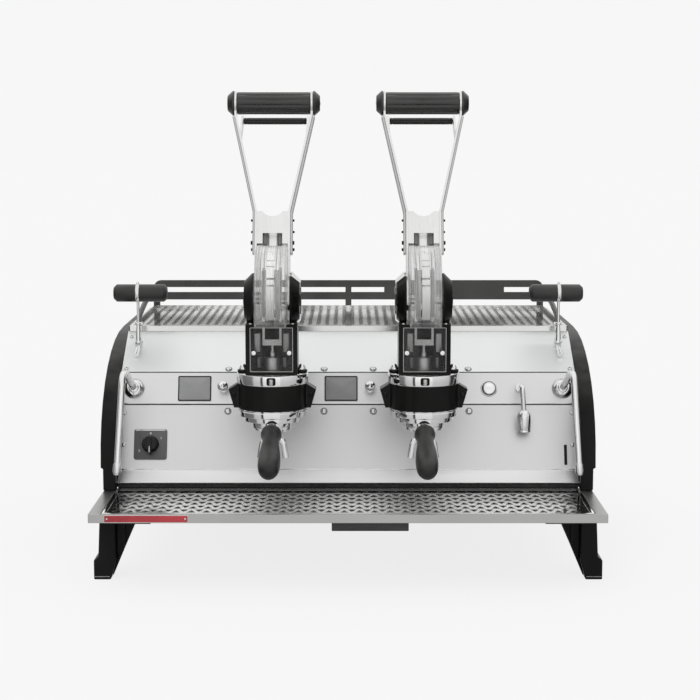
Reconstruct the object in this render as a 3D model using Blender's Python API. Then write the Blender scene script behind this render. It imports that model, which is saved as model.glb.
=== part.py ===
"""Two-group lever espresso machine.

Metres, +Z up. The machine stands on z = 0 and its front faces -Y. The origin is under the middle of
its outer box. Depths called "back" are measured from the front edge of the drip tray towards +Y.
"""

import math

import bmesh
import bpy
from mathutils import Matrix, Quaternion, Vector

# Whole machine
BODY_WIDTH = 0.860
MACHINE_DEPTH = 0.705
SEAT_GAP = 0.0003
RUN_GAP = 0.0008
OVERRUN = 0.004
SHEET = 0.002

# Legs
LEG_HEIGHT = 0.1037
LEG_FOOT_OUT = 0.006
LEG_FOOT_HEIGHT = 0.034
LEG_FOOT_WIDTH = 0.029
LEG_POST_WIDTH = 0.027
LEG_TOP_WIDTH = 0.063
LEG_DEPTH = 0.064
LEG_WEB = 0.020
LEG_INSET = 0.005
FRONT_LEG_BACK = 0.123
REAR_LEG_INSET = 0.105

# Base frame
BASE_HEIGHT = 0.046
BASE_WALL = 0.012
BASE_FLOOR = 0.004
ARM_WIDTH = 0.070
ARM_FRONT_BACK = 0.095
BEAM_BACK = 0.300
BEAM_DEPTH = 0.040
BEAM_HEIGHT = 0.040
UPRIGHT_STEP = 0.001

# Drip tray
TRAY_SIDE_INSET = 0.005
TRAY_DEPTH = 0.204
TRAY_TOP_ABOVE_LEGS = 0.0389
TRAY_RIM_HEIGHT = 0.0146
TRAY_SIDE_RIM = 0.020
TRAY_FRONT_RIM = 0.005
TRAY_BACK_RIM = 0.007
SUMP_SIDE_INSET = 0.125
SUMP_FRONT_BACK = 0.076
SUMP_DROP = 0.014
GRATE_SHEET = 0.0025
GRATE_LEDGE = 0.004
GRATE_SIDE_GAP = 0.001
GRATE_PITCH = 0.049
GRATE_ROWS = 3
GRATE_HOLE_SHARE = 0.42
GRATE_MARGIN = 0.014

# Side frames
SIDE_THICK = 0.026
SIDE_WALL = 0.005
SIDE_FRONT_BACK = 0.182
SIDE_FOOT_HEIGHT = 0.039
SIDE_TOP_ABOVE_LEGS = 0.2903
SIDE_CURVE_DEPTH = 0.327
SIDE_CURVE_POWER_SHARE = 2.2
SIDE_CURVE_STEPS = 9
SIDE_FOOT_INSET = 0.004

# Front panels: height and set-back of each facet, from the skirt up
PANEL_SEAM = 0.0012
SKIRT_HEIGHT, SKIRT_RUN = 0.021, 0.010
LOWER_HEIGHT, LOWER_RUN = 0.1097, 0.040
CONTROL_HEIGHT, CONTROL_RUN = 0.055, 0.020
UPPER_HEIGHT, UPPER_RUN = 0.0613, 0.104
UPPER_FLANGE = 0.014
NECK_SLOT_GAP = 0.004
VENT_SLOT_INSET = 0.047
VENT_SLOT_WIDTH = 0.0053
VENT_SLOT_UP = 0.027
VENT_SLOT_HEIGHT = 0.036

# Cup shelf and its rail
SHELF_HEIGHT = 0.0097
SHELF_SIDE_GAP = 0.002
SHELF_PITCH = 0.078
SHELF_ROWS = 3
SHELF_SLOT_SHARE = 0.62
SHELF_SLOT_WIDTH = 0.030
RAIL_SIDE_INSET = 0.039
RAIL_HEIGHT = 0.057
RAIL_THICK = 0.004
RAIL_INSET = 0.015
RAIL_CORNER = 0.014
RAIL_TOP_BAR = 0.014
RAIL_SLOT_HEIGHT = 0.010
RAIL_SHORT_SLOT = 0.066
RAIL_MID_BAR = 0.015
RAIL_END = 0.012
RAIL_POST = 0.012
RAIL_ARM_BAR = 0.012

# Controls on the panels
CONTROL_LINE_UP = 0.0291
SCREEN_WIDTH = 0.0586
SCREEN_HEIGHT = 0.045
SCREEN_THICK = 0.0022
SCREEN_MIDDLE_SHARE = -0.317
CONTROL_SPACING_SHARE = 0.3023
KNOB_RADIUS = 0.0095
KNOB_STEM_RADIUS = 0.0045
KNOB_STEM_LENGTH = 0.012
KNOB_MIDDLE_SHARE = -0.2573
BUTTON_RADIUS = 0.0117
BUTTON_PROUD = 0.0055
BUTTON_INNER = 0.010
BUTTON_MIDDLE_SHARE = 0.2907
SWITCH_INSET = 0.0815
SWITCH_UP = 0.0455
SWITCH_SHAFT_RADIUS = 0.006
SWITCH_SHAFT_LENGTH = 0.003
SWITCH_KNOB_RADIUS = 0.015
SWITCH_KNOB_HEIGHT = 0.012
SWITCH_POINTER_WIDTH = 0.006
SWITCH_POINTER_HEIGHT = 0.010

# Steam wands and their levers
STEAM_INSET = 0.050
WAND_BALL_RADIUS = 0.0183
WAND_BALL_HEIGHT = 0.011
WAND_RADIUS = 0.006
WAND_BEND = 0.012
WAND_REACH = 0.090
WAND_RISE = 0.046
WAND_DROP = 0.177
WAND_FORWARD = 0.035
WAND_ELBOW_OUT = 0.006
WAND_TIP_OUT = 0.016
STEAM_PIVOT_UP = 0.0773
STEAM_PIVOT_PROUD = 0.009
STEAM_ROD_RADIUS = 0.003
STEAM_EYE_RADIUS = 0.0055
STEAM_EAR_THICK = 0.002
STEAM_EAR_REACH = 0.005
STEAM_ROD_LENGTH = 0.110
STEAM_GRIP_UP = 0.089
STEAM_GRIP_LENGTH = 0.096
STEAM_GRIP_RADIUS = 0.0158
STEAM_GRIP_CHAMFER = 0.005
STEAM_GRIP_SHIFT = 0.005

# Hot-water tap
TAP_MIDDLE_SHARE = 0.3545
TAP_NUT_RADIUS = 0.0085
TAP_NUT_HEIGHT = 0.008
TAP_PIPE_RADIUS = 0.0045
TAP_BEND = 0.009
TAP_REACH = 0.040
TAP_RISE = 0.012
TAP_DROP = 0.050
TAP_OUT = 0.004
NOZZLE_RADIUS = 0.01235
NOZZLE_HEIGHT = 0.034

# Groups
GROUP_SPACING_SHARE = 0.2954
GROUP_BACK = 0.115
BELL_ABOVE_LEGS = 0.1763
LOWER_BELL_RADIUS = 0.0495
LOWER_BELL_HEIGHT = 0.009
UPPER_BELL_RADIUS = 0.0577
UPPER_BELL_HEIGHT = 0.0136
BAND_RADIUS = 0.059
BAND_WALL = 0.004
BAND_HEIGHT = 0.0414
BAND_EAR_REACH = 0.0735
BAND_EAR_FOOT_REACH = 0.0645
BAND_EAR_DEPTH = 0.030
BAND_EAR_DROP = 0.010
FLANGE_RADIUS = 0.060
FLANGE_HEIGHT = 0.018
FLANGE_ROOF = 0.007
SLEEVE_RADIUS = 0.0155
SLEEVE_HEIGHT = 0.025
SOCKET_LIP_HEIGHT = 0.008
SOCKET_HEIGHT = 0.011
CYLINDER_RADIUS = 0.029

# Tower above each group, with its neck and the two round housings of the lever's shaft
TOWER_WIDTH = 0.086
TOWER_FRONT = 0.040
TOWER_REAR = 0.035
TOWER_WALL = 0.007
TOWER_HEIGHT = 0.0837
TOWER_BASE = 0.004
TOWER_ROOF = 0.005
NECK_WIDTH = 0.060
NECK_HEIGHT = 0.030
NECK_END_BACK = 0.338
NECK_FOOT_BACK = 0.180
WINDOW_THICK = 0.003
PIVOT_ABOVE_TOWER = 0.037
HOUSING_RADIUS = 0.045
HOUSING_INNER = 0.030
HOUSING_OUTER = 0.046
HOUSING_CHAMFER = 0.013
SHAFT_RADIUS = 0.008
SHAFT_END_WALL = 0.005

# Clear cover, cam, piston rod and spring
COVER_WIDTH = 0.0514
COVER_RADIUS = 0.091
COVER_WALL = 0.0025
COVER_STEPS = 26
CAM_WIDTH = 0.021
CAM_LOW_RADIUS = 0.036
CAM_BACK_RADIUS = 0.030
PISTON_STROKE = 0.030
LEVER_PULL_TURN = math.radians(105)
LEVER_LEAN = math.radians(18)
ROLLER_RADIUS = 0.007
STIRRUP_INNER = 0.012
STIRRUP_THICK = 0.004
STIRRUP_DEPTH = 0.030
STIRRUP_FOOT_DROP = 0.075
STIRRUP_FOOT_HEIGHT = 0.010
STIRRUP_TOP = 0.010
ROD_RADIUS = 0.0053
PISTON_HEIGHT = 0.008
SPRING_RADIUS = 0.020
SPRING_WIRE = 0.0014
SPRING_TURNS = 5
SPRING_POINTS = 10

# Levers
ARM_THICK = 0.0036
ARM_ROOT_DEPTH = 0.036
ARM_BEND_DEPTH = 0.030
ARM_TOP_DEPTH = 0.022
ARM_END_RADIUS = 0.0185
BRIDGE_FOOT = 0.094
BRIDGE_HEIGHT = 0.056
BRIDGE_DEPTH = 0.026
BRIDGE_NOTCH_WIDTH = 0.033
BRIDGE_NOTCH_HEIGHT = 0.018
BRIDGE_SCOOP_RADIUS = 0.021
BRIDGE_SCOOP_DEPTH = 0.009
LEVER_LENGTH = 0.344
GRIP_LENGTH = 0.158
GRIP_CAP_WIDTH = 0.012
GRIP_CAP_RADIUS = 0.0213
GRIP_CAP_END_RADIUS = 0.0125
GRIP_RADIUS = 0.0188
GRIP_FLUTE_DEPTH = 0.0016
GRIP_FLUTES = 12
GRIP_CORE_RADIUS = 0.009
REAR_BAR_RADIUS = 0.00575
REAR_BAR_LENGTH = 0.110
REAR_BAR_BEHIND = 0.057
REAR_BAR_BELOW = 0.013
REAR_FINGER_DEPTH = 0.018

# Portafilters
PORTAFILTER_RADIUS = 0.036
PORTAFILTER_FOOT_DROP = 0.015
BASKET_RADIUS = 0.0285
BASKET_FLOOR = 0.007
LUG_WIDTH = 0.016
LUG_HEIGHT = 0.005
LUG_PROUD = 0.004
SPOUT_RADIUS = 0.006
SPOUT_HALF_SPREAD = 0.0215
SPOUT_DROP = 0.050
SPOUT_SHOULDER_DROP = 0.012
SPOUT_BEND = 0.009
STEM_RADIUS = 0.0062
STEM_UP = 0.0065
STEM_REACH = 0.048
STEM_END = 0.0085
HANDLE_DROOP = math.radians(21.4)
HANDLE_LENGTH = 0.130
HANDLE_RADIUS = 0.0183
HANDLE_SHARES = (
    (0.0, 0.74), (0.02, 0.90), (0.08, 0.93), (0.14, 0.86), (0.21, 0.74), (0.32, 0.78),
    (0.50, 0.92), (0.70, 1.0), (0.86, 0.94), (0.95, 0.72), (1.0, 0.35),
)

# Boiler inside the body
BOILER_RADIUS_SHARE = 0.1206
BOILER_LENGTH_SHARE = 0.465
BOILER_MIDDLE_SHARE = -0.1744
BOILER_BACK_SHARE = 0.8085
BOILER_WALL = 0.003
BOILER_PORT_RADIUS = 0.012
BOILER_FOOT_WIDTH = 0.030

# Smoothness
BIG_STEPS = 24
MID_STEPS = 16
SMALL_STEPS = 10
SHARP_ANGLE = math.radians(35)

# Places that follow from the sizes above
TRAY_TOP = LEG_HEIGHT + TRAY_TOP_ABOVE_LEGS
SIDE_TOP = LEG_HEIGHT + SIDE_TOP_ABOVE_LEGS
BELL_FOOT = LEG_HEIGHT + BELL_ABOVE_LEGS
PORTAFILTER_FOOT = BELL_FOOT - PORTAFILTER_FOOT_DROP
STEM_HEIGHT = PORTAFILTER_FOOT + STEM_UP
REAR_LEG_BACK = MACHINE_DEPTH - REAR_LEG_INSET
GROUP_HALF = BODY_WIDTH * GROUP_SPACING_SHARE / 2
TRAY_WIDTH = BODY_WIDTH - 2 * TRAY_SIDE_INSET
SUMP_HALF = TRAY_WIDTH / 2 - SUMP_SIDE_INSET
RAIL_HALF = BODY_WIDTH / 2 - RAIL_SIDE_INSET
VENT_SLOT_MIDDLE = BODY_WIDTH / 2 - VENT_SLOT_INSET
CONTROL_SPACING = BODY_WIDTH * CONTROL_SPACING_SHARE
SCREEN_MIDDLE = BODY_WIDTH * SCREEN_MIDDLE_SHARE
KNOB_MIDDLE = BODY_WIDTH * KNOB_MIDDLE_SHARE
BUTTON_MIDDLE = BODY_WIDTH * BUTTON_MIDDLE_SHARE
SWITCH_MIDDLE = SWITCH_INSET - BODY_WIDTH / 2
STEAM_MIDDLE = BODY_WIDTH / 2 - STEAM_INSET
TAP_MIDDLE = BODY_WIDTH * TAP_MIDDLE_SHARE
HANDLE_REACH = max(
    along * HANDLE_LENGTH * math.cos(HANDLE_DROOP) + across * HANDLE_RADIUS * math.sin(HANDLE_DROOP)
    for along, across in HANDLE_SHARES
)
HANDLE_START = STEM_REACH + STEM_END * math.cos(HANDLE_DROOP)
HANDLE_PROUD = HANDLE_START + HANDLE_REACH - GROUP_BACK
TRAY_FRONT = -(MACHINE_DEPTH - HANDLE_PROUD) / 2
BODY_INNER = BODY_WIDTH / 2 - SIDE_THICK
PANEL_HALF = BODY_INNER - SEAT_GAP
BASE_BOTTOM = LEG_HEIGHT + SEAT_GAP
BASE_TOP = BASE_BOTTOM + BASE_HEIGHT
TRAY_BOTTOM = TRAY_TOP - TRAY_RIM_HEIGHT
BASE_FRONT_BACK = TRAY_DEPTH + OVERRUN
BAND_FOOT = BELL_FOOT + LOWER_BELL_HEIGHT + UPPER_BELL_HEIGHT
FLANGE_FOOT = BAND_FOOT + BAND_HEIGHT
FLANGE_TOP = FLANGE_FOOT + FLANGE_HEIGHT
SOCKET_CEILING = BELL_FOOT + SOCKET_LIP_HEIGHT + SOCKET_HEIGHT
CYLINDER_TOP = FLANGE_TOP - FLANGE_ROOF
PISTON_FOOT = SOCKET_CEILING + SEAT_GAP
TOWER_FOOT = FLANGE_TOP + SEAT_GAP
TOWER_TOP = TOWER_FOOT + TOWER_HEIGHT
PIVOT_HEIGHT = TOWER_TOP + PIVOT_ABOVE_TOWER
STIRRUP_FOOT = PIVOT_HEIGHT - STIRRUP_FOOT_DROP
COVER_HALF = COVER_WIDTH / 2
ARM_INNER = COVER_HALF + SEAT_GAP
GRIP_ARM_INNER = GRIP_LENGTH / 2 - GRIP_CAP_WIDTH - SEAT_GAP - ARM_THICK
GROUP_Y = TRAY_FRONT + GROUP_BACK
FLARE_END = LEVER_LENGTH - GRIP_CAP_RADIUS - RUN_GAP


def clear_scene():
    """Removes what Blender starts with."""
    for obj in list(bpy.data.objects):
        bpy.data.objects.remove(obj)


def make_material(name, colour, roughness, metallic=0.0, see_through=0.0):
    """A Principled BSDF of one colour."""
    material = bpy.data.materials.new(name)
    material.use_nodes = True
    shader = material.node_tree.nodes["Principled BSDF"]
    shader.inputs["Base Color"].default_value = (*colour, 1.0)
    shader.inputs["Roughness"].default_value = roughness
    shader.inputs["Metallic"].default_value = metallic
    shader.inputs["Transmission Weight"].default_value = see_through
    return material


def make_empty(name, place, turn=0.0, parent=None):
    """A joint's or a facet's own frame, turned about X."""
    empty = bpy.data.objects.new(name, None)
    empty.location = place
    empty.rotation_euler = (turn, 0.0, 0.0)
    empty.parent = parent
    bpy.context.collection.objects.link(empty)
    return empty


def mesh_object(name, bm, parent):
    """An object that holds this mesh, with its faces pointing out."""
    bmesh.ops.recalc_face_normals(bm, faces=bm.faces)
    mesh = bpy.data.meshes.new(name)
    bm.to_mesh(mesh)
    bm.free()
    mesh.shade_smooth()
    mesh.set_sharp_from_angle(angle=SHARP_ANGLE)
    obj = bpy.data.objects.new(name, mesh)
    obj.parent = parent
    bpy.context.collection.objects.link(obj)
    return obj


def piece(name, bm, material, parent=None, adds=(), cuts=(), adds_after=()):
    """One named solid: a mesh, with others joined to it, others cut out of it, and more joined last."""
    obj = mesh_object(name, bm, parent)
    obj.data.materials.append(material)
    tools = [("UNION", tool) for tool in adds] + [("DIFFERENCE", tool) for tool in cuts]
    tools += [("UNION", tool) for tool in adds_after]
    for number, (operation, tool) in enumerate(tools):
        helper = mesh_object(f"{name}_tool_{number}", tool, parent)
        helper.hide_render = True
        helper.display_type = "WIRE"
        modifier = obj.modifiers.new(f"{operation.lower()}_{number}", "BOOLEAN")
        modifier.operation = operation
        modifier.object = helper
    return obj


def skin(rings, closed=False):
    """A solid between matching rings of points. A ring of one point is a tip."""
    bm = bmesh.new()
    rows = [[bm.verts.new(point) for point in ring] for ring in rings]
    count = max(len(row) for row in rows)
    for low, high in zip(rows, rows[1:] + (rows[:1] if closed else [])):
        for k in range(count):
            after = (k + 1) % count
            corners = [low[k % len(low)], low[after % len(low)], high[after % len(high)], high[k % len(high)]]
            bm.faces.new(list(dict.fromkeys(corners)))
    if not closed:
        for row in (rows[0], rows[-1]):
            if len(row) > 1:
                bm.faces.new(row)
    return bm


def turned(profile, steps=BIG_STEPS, ring=False):
    """A solid of revolution about Z from (radius, height) points. A ring's profile closes on itself."""
    turns = [2 * math.pi * k / steps for k in range(steps)]
    rings = [
        [(radius * math.cos(t), radius * math.sin(t), height) for t in turns] if radius else [(0, 0, height)]
        for radius, height in profile
    ]
    return skin(rings, ring)


def prism(outline, low, high, axis="x"):
    """An outline carried from low to high: (y, z) points along x, (x, z) along y, or (x, y) along z."""
    def at(point, level):
        a, b = point
        return {"x": (level, a, b), "y": (a, level, b), "z": (a, b, level)}[axis]

    return skin([[at(point, level) for point in outline] for level in (low, high)])


def block(x, y, z):
    """A box from its three (low, high) spans."""
    return prism([(x[0], y[0]), (x[1], y[0]), (x[1], y[1]), (x[0], y[1])], z[0], z[1], "z")


def rod(radius, low, high, steps=MID_STEPS, along="z", place=(0.0, 0.0, 0.0)):
    """A cylinder along one axis, from low to high on that axis."""
    bm = turned([(radius, low), (radius, high)], steps)
    turn = {
        "x": Matrix.Rotation(math.pi / 2, 4, "Y"),
        "y": Matrix.Rotation(-math.pi / 2, 4, "X"),
        "z": Matrix.Identity(4),
    }[along]
    bmesh.ops.transform(bm, matrix=Matrix.Translation(place) @ turn, verts=bm.verts)
    return bm


def moved(bm, matrix):
    """The same mesh, put elsewhere."""
    bmesh.ops.transform(bm, matrix=matrix, verts=bm.verts)
    return bm


def gather(shapes):
    """Several meshes as one, for a pattern of cuts."""
    bm = bmesh.new()
    for shape in shapes:
        mesh = bpy.data.meshes.new("shape")
        shape.to_mesh(mesh)
        shape.free()
        bm.from_mesh(mesh)
        bpy.data.meshes.remove(mesh)
    return bm


def rounded(points, radius, steps=4, closed=False):
    """Points with each corner swapped for an arc that touches both its sides."""
    points = [Vector(point) for point in points]
    result = [] if closed else [points[0]]
    corners = range(len(points)) if closed else range(1, len(points) - 1)
    for k in corners:
        corner, before, after = points[k], points[k - 1], points[(k + 1) % len(points)]
        back, ahead = (before - corner).normalized(), (after - corner).normalized()
        half = back.angle(ahead) / 2
        centre = corner + (back + ahead).normalized() * (radius / math.sin(half))
        start = corner + back * (radius / math.tan(half)) - centre
        end = corner + ahead * (radius / math.tan(half)) - centre
        sweep = start.angle(end)
        for n in range(steps + 1):
            share = n / steps
            first = math.sin((1 - share) * sweep) / math.sin(sweep)
            second = math.sin(share * sweep) / math.sin(sweep)
            result.append(centre + start * first + end * second)
    return result if closed else [*result, points[-1]]


def tube(points, radius, steps=SMALL_STEPS):
    """A round bar along a path, its rings carried on without twist."""
    points = [Vector(point) for point in points]
    ways = [(after - before).normalized() for before, after in zip(points, points[1:])]
    side = ways[0].orthogonal().normalized()
    rings = []
    for k, point in enumerate(points):
        before, after = ways[max(k - 1, 0)], ways[min(k, len(ways) - 1)]
        way = (before + after).normalized()
        side = (side - way * side.dot(way)).normalized()
        stretch = 1 / max(before.dot(way), 0.5)
        up = way.cross(side)
        rings.append([
            point + side * radius * math.cos(t) + up * radius * math.sin(t) * stretch
            for t in (2 * math.pi * n / steps for n in range(steps))
        ])
    return skin(rings)


def circle(radius, start, end, steps, centre=(0.0, 0.0)):
    """Points along an arc, both ends in."""
    return [
        (centre[0] + radius * math.cos(t), centre[1] + radius * math.sin(t))
        for t in (start + (end - start) * k / steps for k in range(steps + 1))
    ]


def panel_corners():
    """(y, z) of each fold of the front, from the skirt's foot to the top."""
    y, z = TRAY_FRONT + BASE_FRONT_BACK, BASE_TOP + SEAT_GAP + SHEET * SKIRT_RUN / SKIRT_HEIGHT
    corners = [(y, z)]
    facets = (
        (SKIRT_RUN, SKIRT_HEIGHT), (LOWER_RUN, LOWER_HEIGHT),
        (CONTROL_RUN, CONTROL_HEIGHT), (UPPER_RUN, UPPER_HEIGHT),
    )
    for run, height in facets:
        y, z = y + run, z + height
        corners.append((y, z))
    return corners


FOOT, SKIRT_TOP, LOWER_TOP, CONTROL_TOP, UPPER_TOP = panel_corners()


def inner_line(points, thickness=SHEET):
    """The line that a bent sheet's inner side follows, with the same number of points."""
    points = [Vector(point) for point in points]
    result = []
    for k, point in enumerate(points):
        before = (point - points[k - 1]).normalized() if k else (points[1] - point).normalized()
        after = (points[k + 1] - point).normalized() if k + 1 < len(points) else before
        first, second = Vector((before.y, -before.x)), Vector((after.y, -after.x))
        middle = (first + second).normalized()
        result.append(tuple(point + middle * (thickness / middle.dot(first))))
    return result


def shifted(point, start, end, distance):
    """The point moved that far along the way from start to end."""
    way = (Vector(end) - Vector(start)).normalized()
    return tuple(Vector(point) + way * distance)


def facet_frame(name, low, high):
    """An empty on a facet's lower edge: x across, y up the facet, z straight out of it."""
    tilt = math.atan2(high[0] - low[0], high[1] - low[1])
    return make_empty(name, (0.0, low[0], low[1]), math.pi / 2 - tilt)


def on_facet(empty):
    """The matrix that takes a facet's own frame to the machine's."""
    return Matrix.Translation(empty.location) @ empty.rotation_euler.to_matrix().to_4x4()


def build_base_frame(steel):
    """Welded frame: a ring of walls with a beam for the group necks, a floor laid on it, two tray arms."""
    front, back = TRAY_FRONT + BASE_FRONT_BACK, TRAY_FRONT + MACHINE_DEPTH - SHEET - SEAT_GAP
    half = BODY_INNER - SEAT_GAP
    floor_low = BASE_TOP - BASE_FLOOR
    ring_top = floor_low - SEAT_GAP
    ring = block((-half, half), (front, back), (BASE_BOTTOM, ring_top))
    hollow = block(
        (BASE_WALL - half, half - BASE_WALL),
        (front + BASE_WALL, back - BASE_WALL),
        (BASE_BOTTOM - OVERRUN, BASE_TOP),
    )
    beam_front = TRAY_FRONT + BEAM_BACK
    beam_top = FLANGE_FOOT + RUN_GAP
    adds, notches = [], []
    for side in (-1, 1):
        inner, outer = sorted((side * half, side * (half - BASE_WALL)))
        adds.append(block(
            (inner, outer),
            (beam_front, beam_front + BEAM_DEPTH),
            (ring_top - OVERRUN / 2, beam_top - UPRIGHT_STEP),
        ))
        inner, outer = sorted((side * (half + OVERRUN), side * (half - BASE_WALL - SEAT_GAP)))
        notches.append(block(
            (inner, outer),
            (beam_front - SEAT_GAP, beam_front + BEAM_DEPTH + SEAT_GAP),
            (floor_low - OVERRUN, BASE_TOP + OVERRUN),
        ))
    adds.append(block(
        (OVERRUN - half, half - OVERRUN),
        (beam_front + OVERRUN / 2, beam_front + BEAM_DEPTH - OVERRUN / 2),
        (beam_top - BEAM_HEIGHT, beam_top),
    ))
    piece("base_frame", ring, steel, cuts=[hollow], adds_after=adds)
    piece("base_floor", block((-half, half), (front, back), (floor_low, BASE_TOP)), steel, cuts=notches)
    for side_name, side in (("left", -1), ("right", 1)):
        span = tuple(sorted((side * half, side * (half - ARM_WIDTH))))
        depth = (TRAY_FRONT + ARM_FRONT_BACK, front - SEAT_GAP)
        piece(f"{side_name}_tray_arm", block(span, depth, (BASE_BOTTOM, TRAY_BOTTOM - SEAT_GAP)), steel)


def build_legs(black):
    """Four cast legs: an upright post over a wider foot, and a thinner slanted web on the inner side."""
    outer = BODY_WIDTH / 2 - LEG_INSET
    foot_outer = outer + LEG_INSET + LEG_FOOT_OUT
    foot_inner = foot_outer - LEG_FOOT_WIDTH
    post = [
        (outer, LEG_HEIGHT),
        (outer + LEG_FOOT_OUT / 2, LEG_FOOT_HEIGHT + LEG_FOOT_OUT),
        (foot_outer, LEG_FOOT_HEIGHT),
        (foot_outer, 0.0),
        (foot_inner, 0.0),
        (outer - LEG_POST_WIDTH, LEG_FOOT_HEIGHT),
        (outer - LEG_POST_WIDTH, LEG_HEIGHT),
    ]
    web = [
        (outer - LEG_POST_WIDTH + OVERRUN, LEG_HEIGHT),
        (foot_inner + OVERRUN, LEG_FOOT_OUT / 2),
        (foot_inner, LEG_FOOT_OUT / 2),
        (outer - LEG_TOP_WIDTH, LEG_HEIGHT),
    ]
    for depth_name, back in (("front", FRONT_LEG_BACK), ("rear", REAR_LEG_BACK)):
        y = TRAY_FRONT + back
        for side_name, side in (("left", -1), ("right", 1)):
            post_side = [(side * x, z) for x, z in post]
            web_side = [(side * x, z) for x, z in web]
            piece(
                f"{depth_name}_{side_name}_leg",
                prism(post_side, y, y + LEG_DEPTH, "y"),
                black,
                adds=[prism(web_side, y + LEG_WEB, y + LEG_DEPTH - LEG_WEB / 2, "y")],
            )


def build_side_frames(black):
    """Cast side frames: a curved front edge, a rim all round and a thin outer wall."""
    front, back = TRAY_FRONT + SIDE_FRONT_BACK, TRAY_FRONT + MACHINE_DEPTH
    low = TRAY_TOP + SEAT_GAP
    start = low + SIDE_FOOT_HEIGHT
    power = 2 / SIDE_CURVE_POWER_SHARE

    def outline(inset):
        curve = []
        for k in range(SIDE_CURVE_STEPS + 1):
            t = math.pi / 2 * k / SIDE_CURVE_STEPS
            curve.append((
                front + SIDE_CURVE_DEPTH - (SIDE_CURVE_DEPTH - inset) * math.cos(t) ** power,
                start + (SIDE_TOP - inset - start) * math.sin(t) ** power,
            ))
        rear = [(back - inset, SIDE_TOP - inset), (back - inset, low + inset)]
        return [(front + inset, low + inset), *curve, *rear]

    for side_name, side in (("left", -1), ("right", 1)):
        inner, outer = side * BODY_INNER, side * BODY_WIDTH / 2
        foot = block(
            tuple(sorted((outer - side * SIDE_FOOT_INSET, outer + side * OVERRUN))),
            (front - OVERRUN, back + OVERRUN),
            (low - OVERRUN, start),
        )
        recess_outer = outer - side * (SIDE_WALL + SIDE_FOOT_INSET)
        piece(
            f"{side_name}_side_frame",
            prism(outline(0.0), inner, outer),
            black,
            cuts=[prism(outline(SIDE_THICK / 2), inner - side * OVERRUN, recess_outer), foot],
        )


def build_front_panels(steel, mirror_steel):
    """Folded steel: the skirt and lower panel, the control panel, and the sloped upper panel."""
    outer = [FOOT, SKIRT_TOP, LOWER_TOP, CONTROL_TOP, UPPER_TOP, (UPPER_TOP[0] + UPPER_FLANGE, UPPER_TOP[1])]
    inner = inner_line(outer)
    seam = PANEL_SEAM / 2

    def cut_at(k, before, distance):
        first, second = (k - 1, k) if before else (k, k + 1)
        return [shifted(line[k], outer[first], outer[second], distance) for line in (outer, inner)]

    (lower_out, lower_in), (control_low, control_low_in) = cut_at(2, True, -seam), cut_at(2, False, seam)
    (control_out, control_in), (upper_low, upper_low_in) = cut_at(3, True, -seam), cut_at(3, False, seam)
    lower = prism([outer[0], outer[1], lower_out, lower_in, inner[1], inner[0]], -PANEL_HALF, PANEL_HALF)
    lower_frame = facet_frame("lower_facet", SKIRT_TOP, LOWER_TOP)
    slot = block(
        (VENT_SLOT_MIDDLE - VENT_SLOT_WIDTH / 2, VENT_SLOT_MIDDLE + VENT_SLOT_WIDTH / 2),
        (VENT_SLOT_UP - VENT_SLOT_HEIGHT / 2, VENT_SLOT_UP + VENT_SLOT_HEIGHT / 2),
        (-OVERRUN, OVERRUN),
    )
    piece("lower_front_panel", lower, steel, cuts=[moved(slot, on_facet(lower_frame))])

    control = prism([control_low, control_out, control_in, control_low_in], -PANEL_HALF, PANEL_HALF)
    control_frame = facet_frame("control_facet", LOWER_TOP, CONTROL_TOP)
    hole = rod(BUTTON_RADIUS + RUN_GAP, -OVERRUN, OVERRUN, place=(BUTTON_MIDDLE, CONTROL_LINE_UP, 0.0))
    piece("control_panel", control, steel, cuts=[moved(hole, on_facet(control_frame))])

    upper = prism([upper_low, outer[4], outer[5], inner[5], inner[4], upper_low_in], -PANEL_HALF, PANEL_HALF)
    upper_frame = facet_frame("upper_facet", CONTROL_TOP, UPPER_TOP)
    neck_half = NECK_WIDTH / 2 + NECK_SLOT_GAP
    neck_top = FLANGE_FOOT + RUN_GAP + SEAT_GAP + NECK_HEIGHT + NECK_SLOT_GAP
    slot_y, slot_z = (CONTROL_TOP[0] - OVERRUN, UPPER_TOP[0]), (CONTROL_TOP[1] - OVERRUN, neck_top)
    cuts = [block((x - neck_half, x + neck_half), slot_y, slot_z) for x in (-GROUP_HALF, GROUP_HALF)]
    ears = []
    reach = STEAM_PIVOT_PROUD + STEAM_EAR_REACH
    for side in (-1, 1):
        for edge in (-1, 1):
            inner = side * STEAM_MIDDLE + edge * (STEAM_ROD_RADIUS + RUN_GAP)
            outer = inner + edge * STEAM_EAR_THICK
            ear = block(
                tuple(sorted((inner, outer))),
                (STEAM_PIVOT_UP - STEAM_EYE_RADIUS, STEAM_PIVOT_UP + STEAM_EYE_RADIUS),
                (-SHEET / 2, reach),
            )
            ears.append(moved(ear, on_facet(upper_frame)))
    piece("upper_front_panel", upper, mirror_steel, adds=ears, cuts=cuts)
    return lower_frame, control_frame, upper_frame


def build_rear_panel(steel):
    """A plain folded sheet that closes the back, with a flange that carries the cup shelf."""
    back = TRAY_FRONT + MACHINE_DEPTH
    outline = [
        (back, BASE_BOTTOM),
        (back, UPPER_TOP[1]),
        (back - UPPER_FLANGE, UPPER_TOP[1]),
        (back - UPPER_FLANGE, UPPER_TOP[1] - SHEET),
        (back - SHEET, UPPER_TOP[1] - SHEET),
        (back - SHEET, BASE_BOTTOM),
    ]
    piece("rear_panel", prism(outline, -PANEL_HALF, PANEL_HALF), steel)


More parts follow.
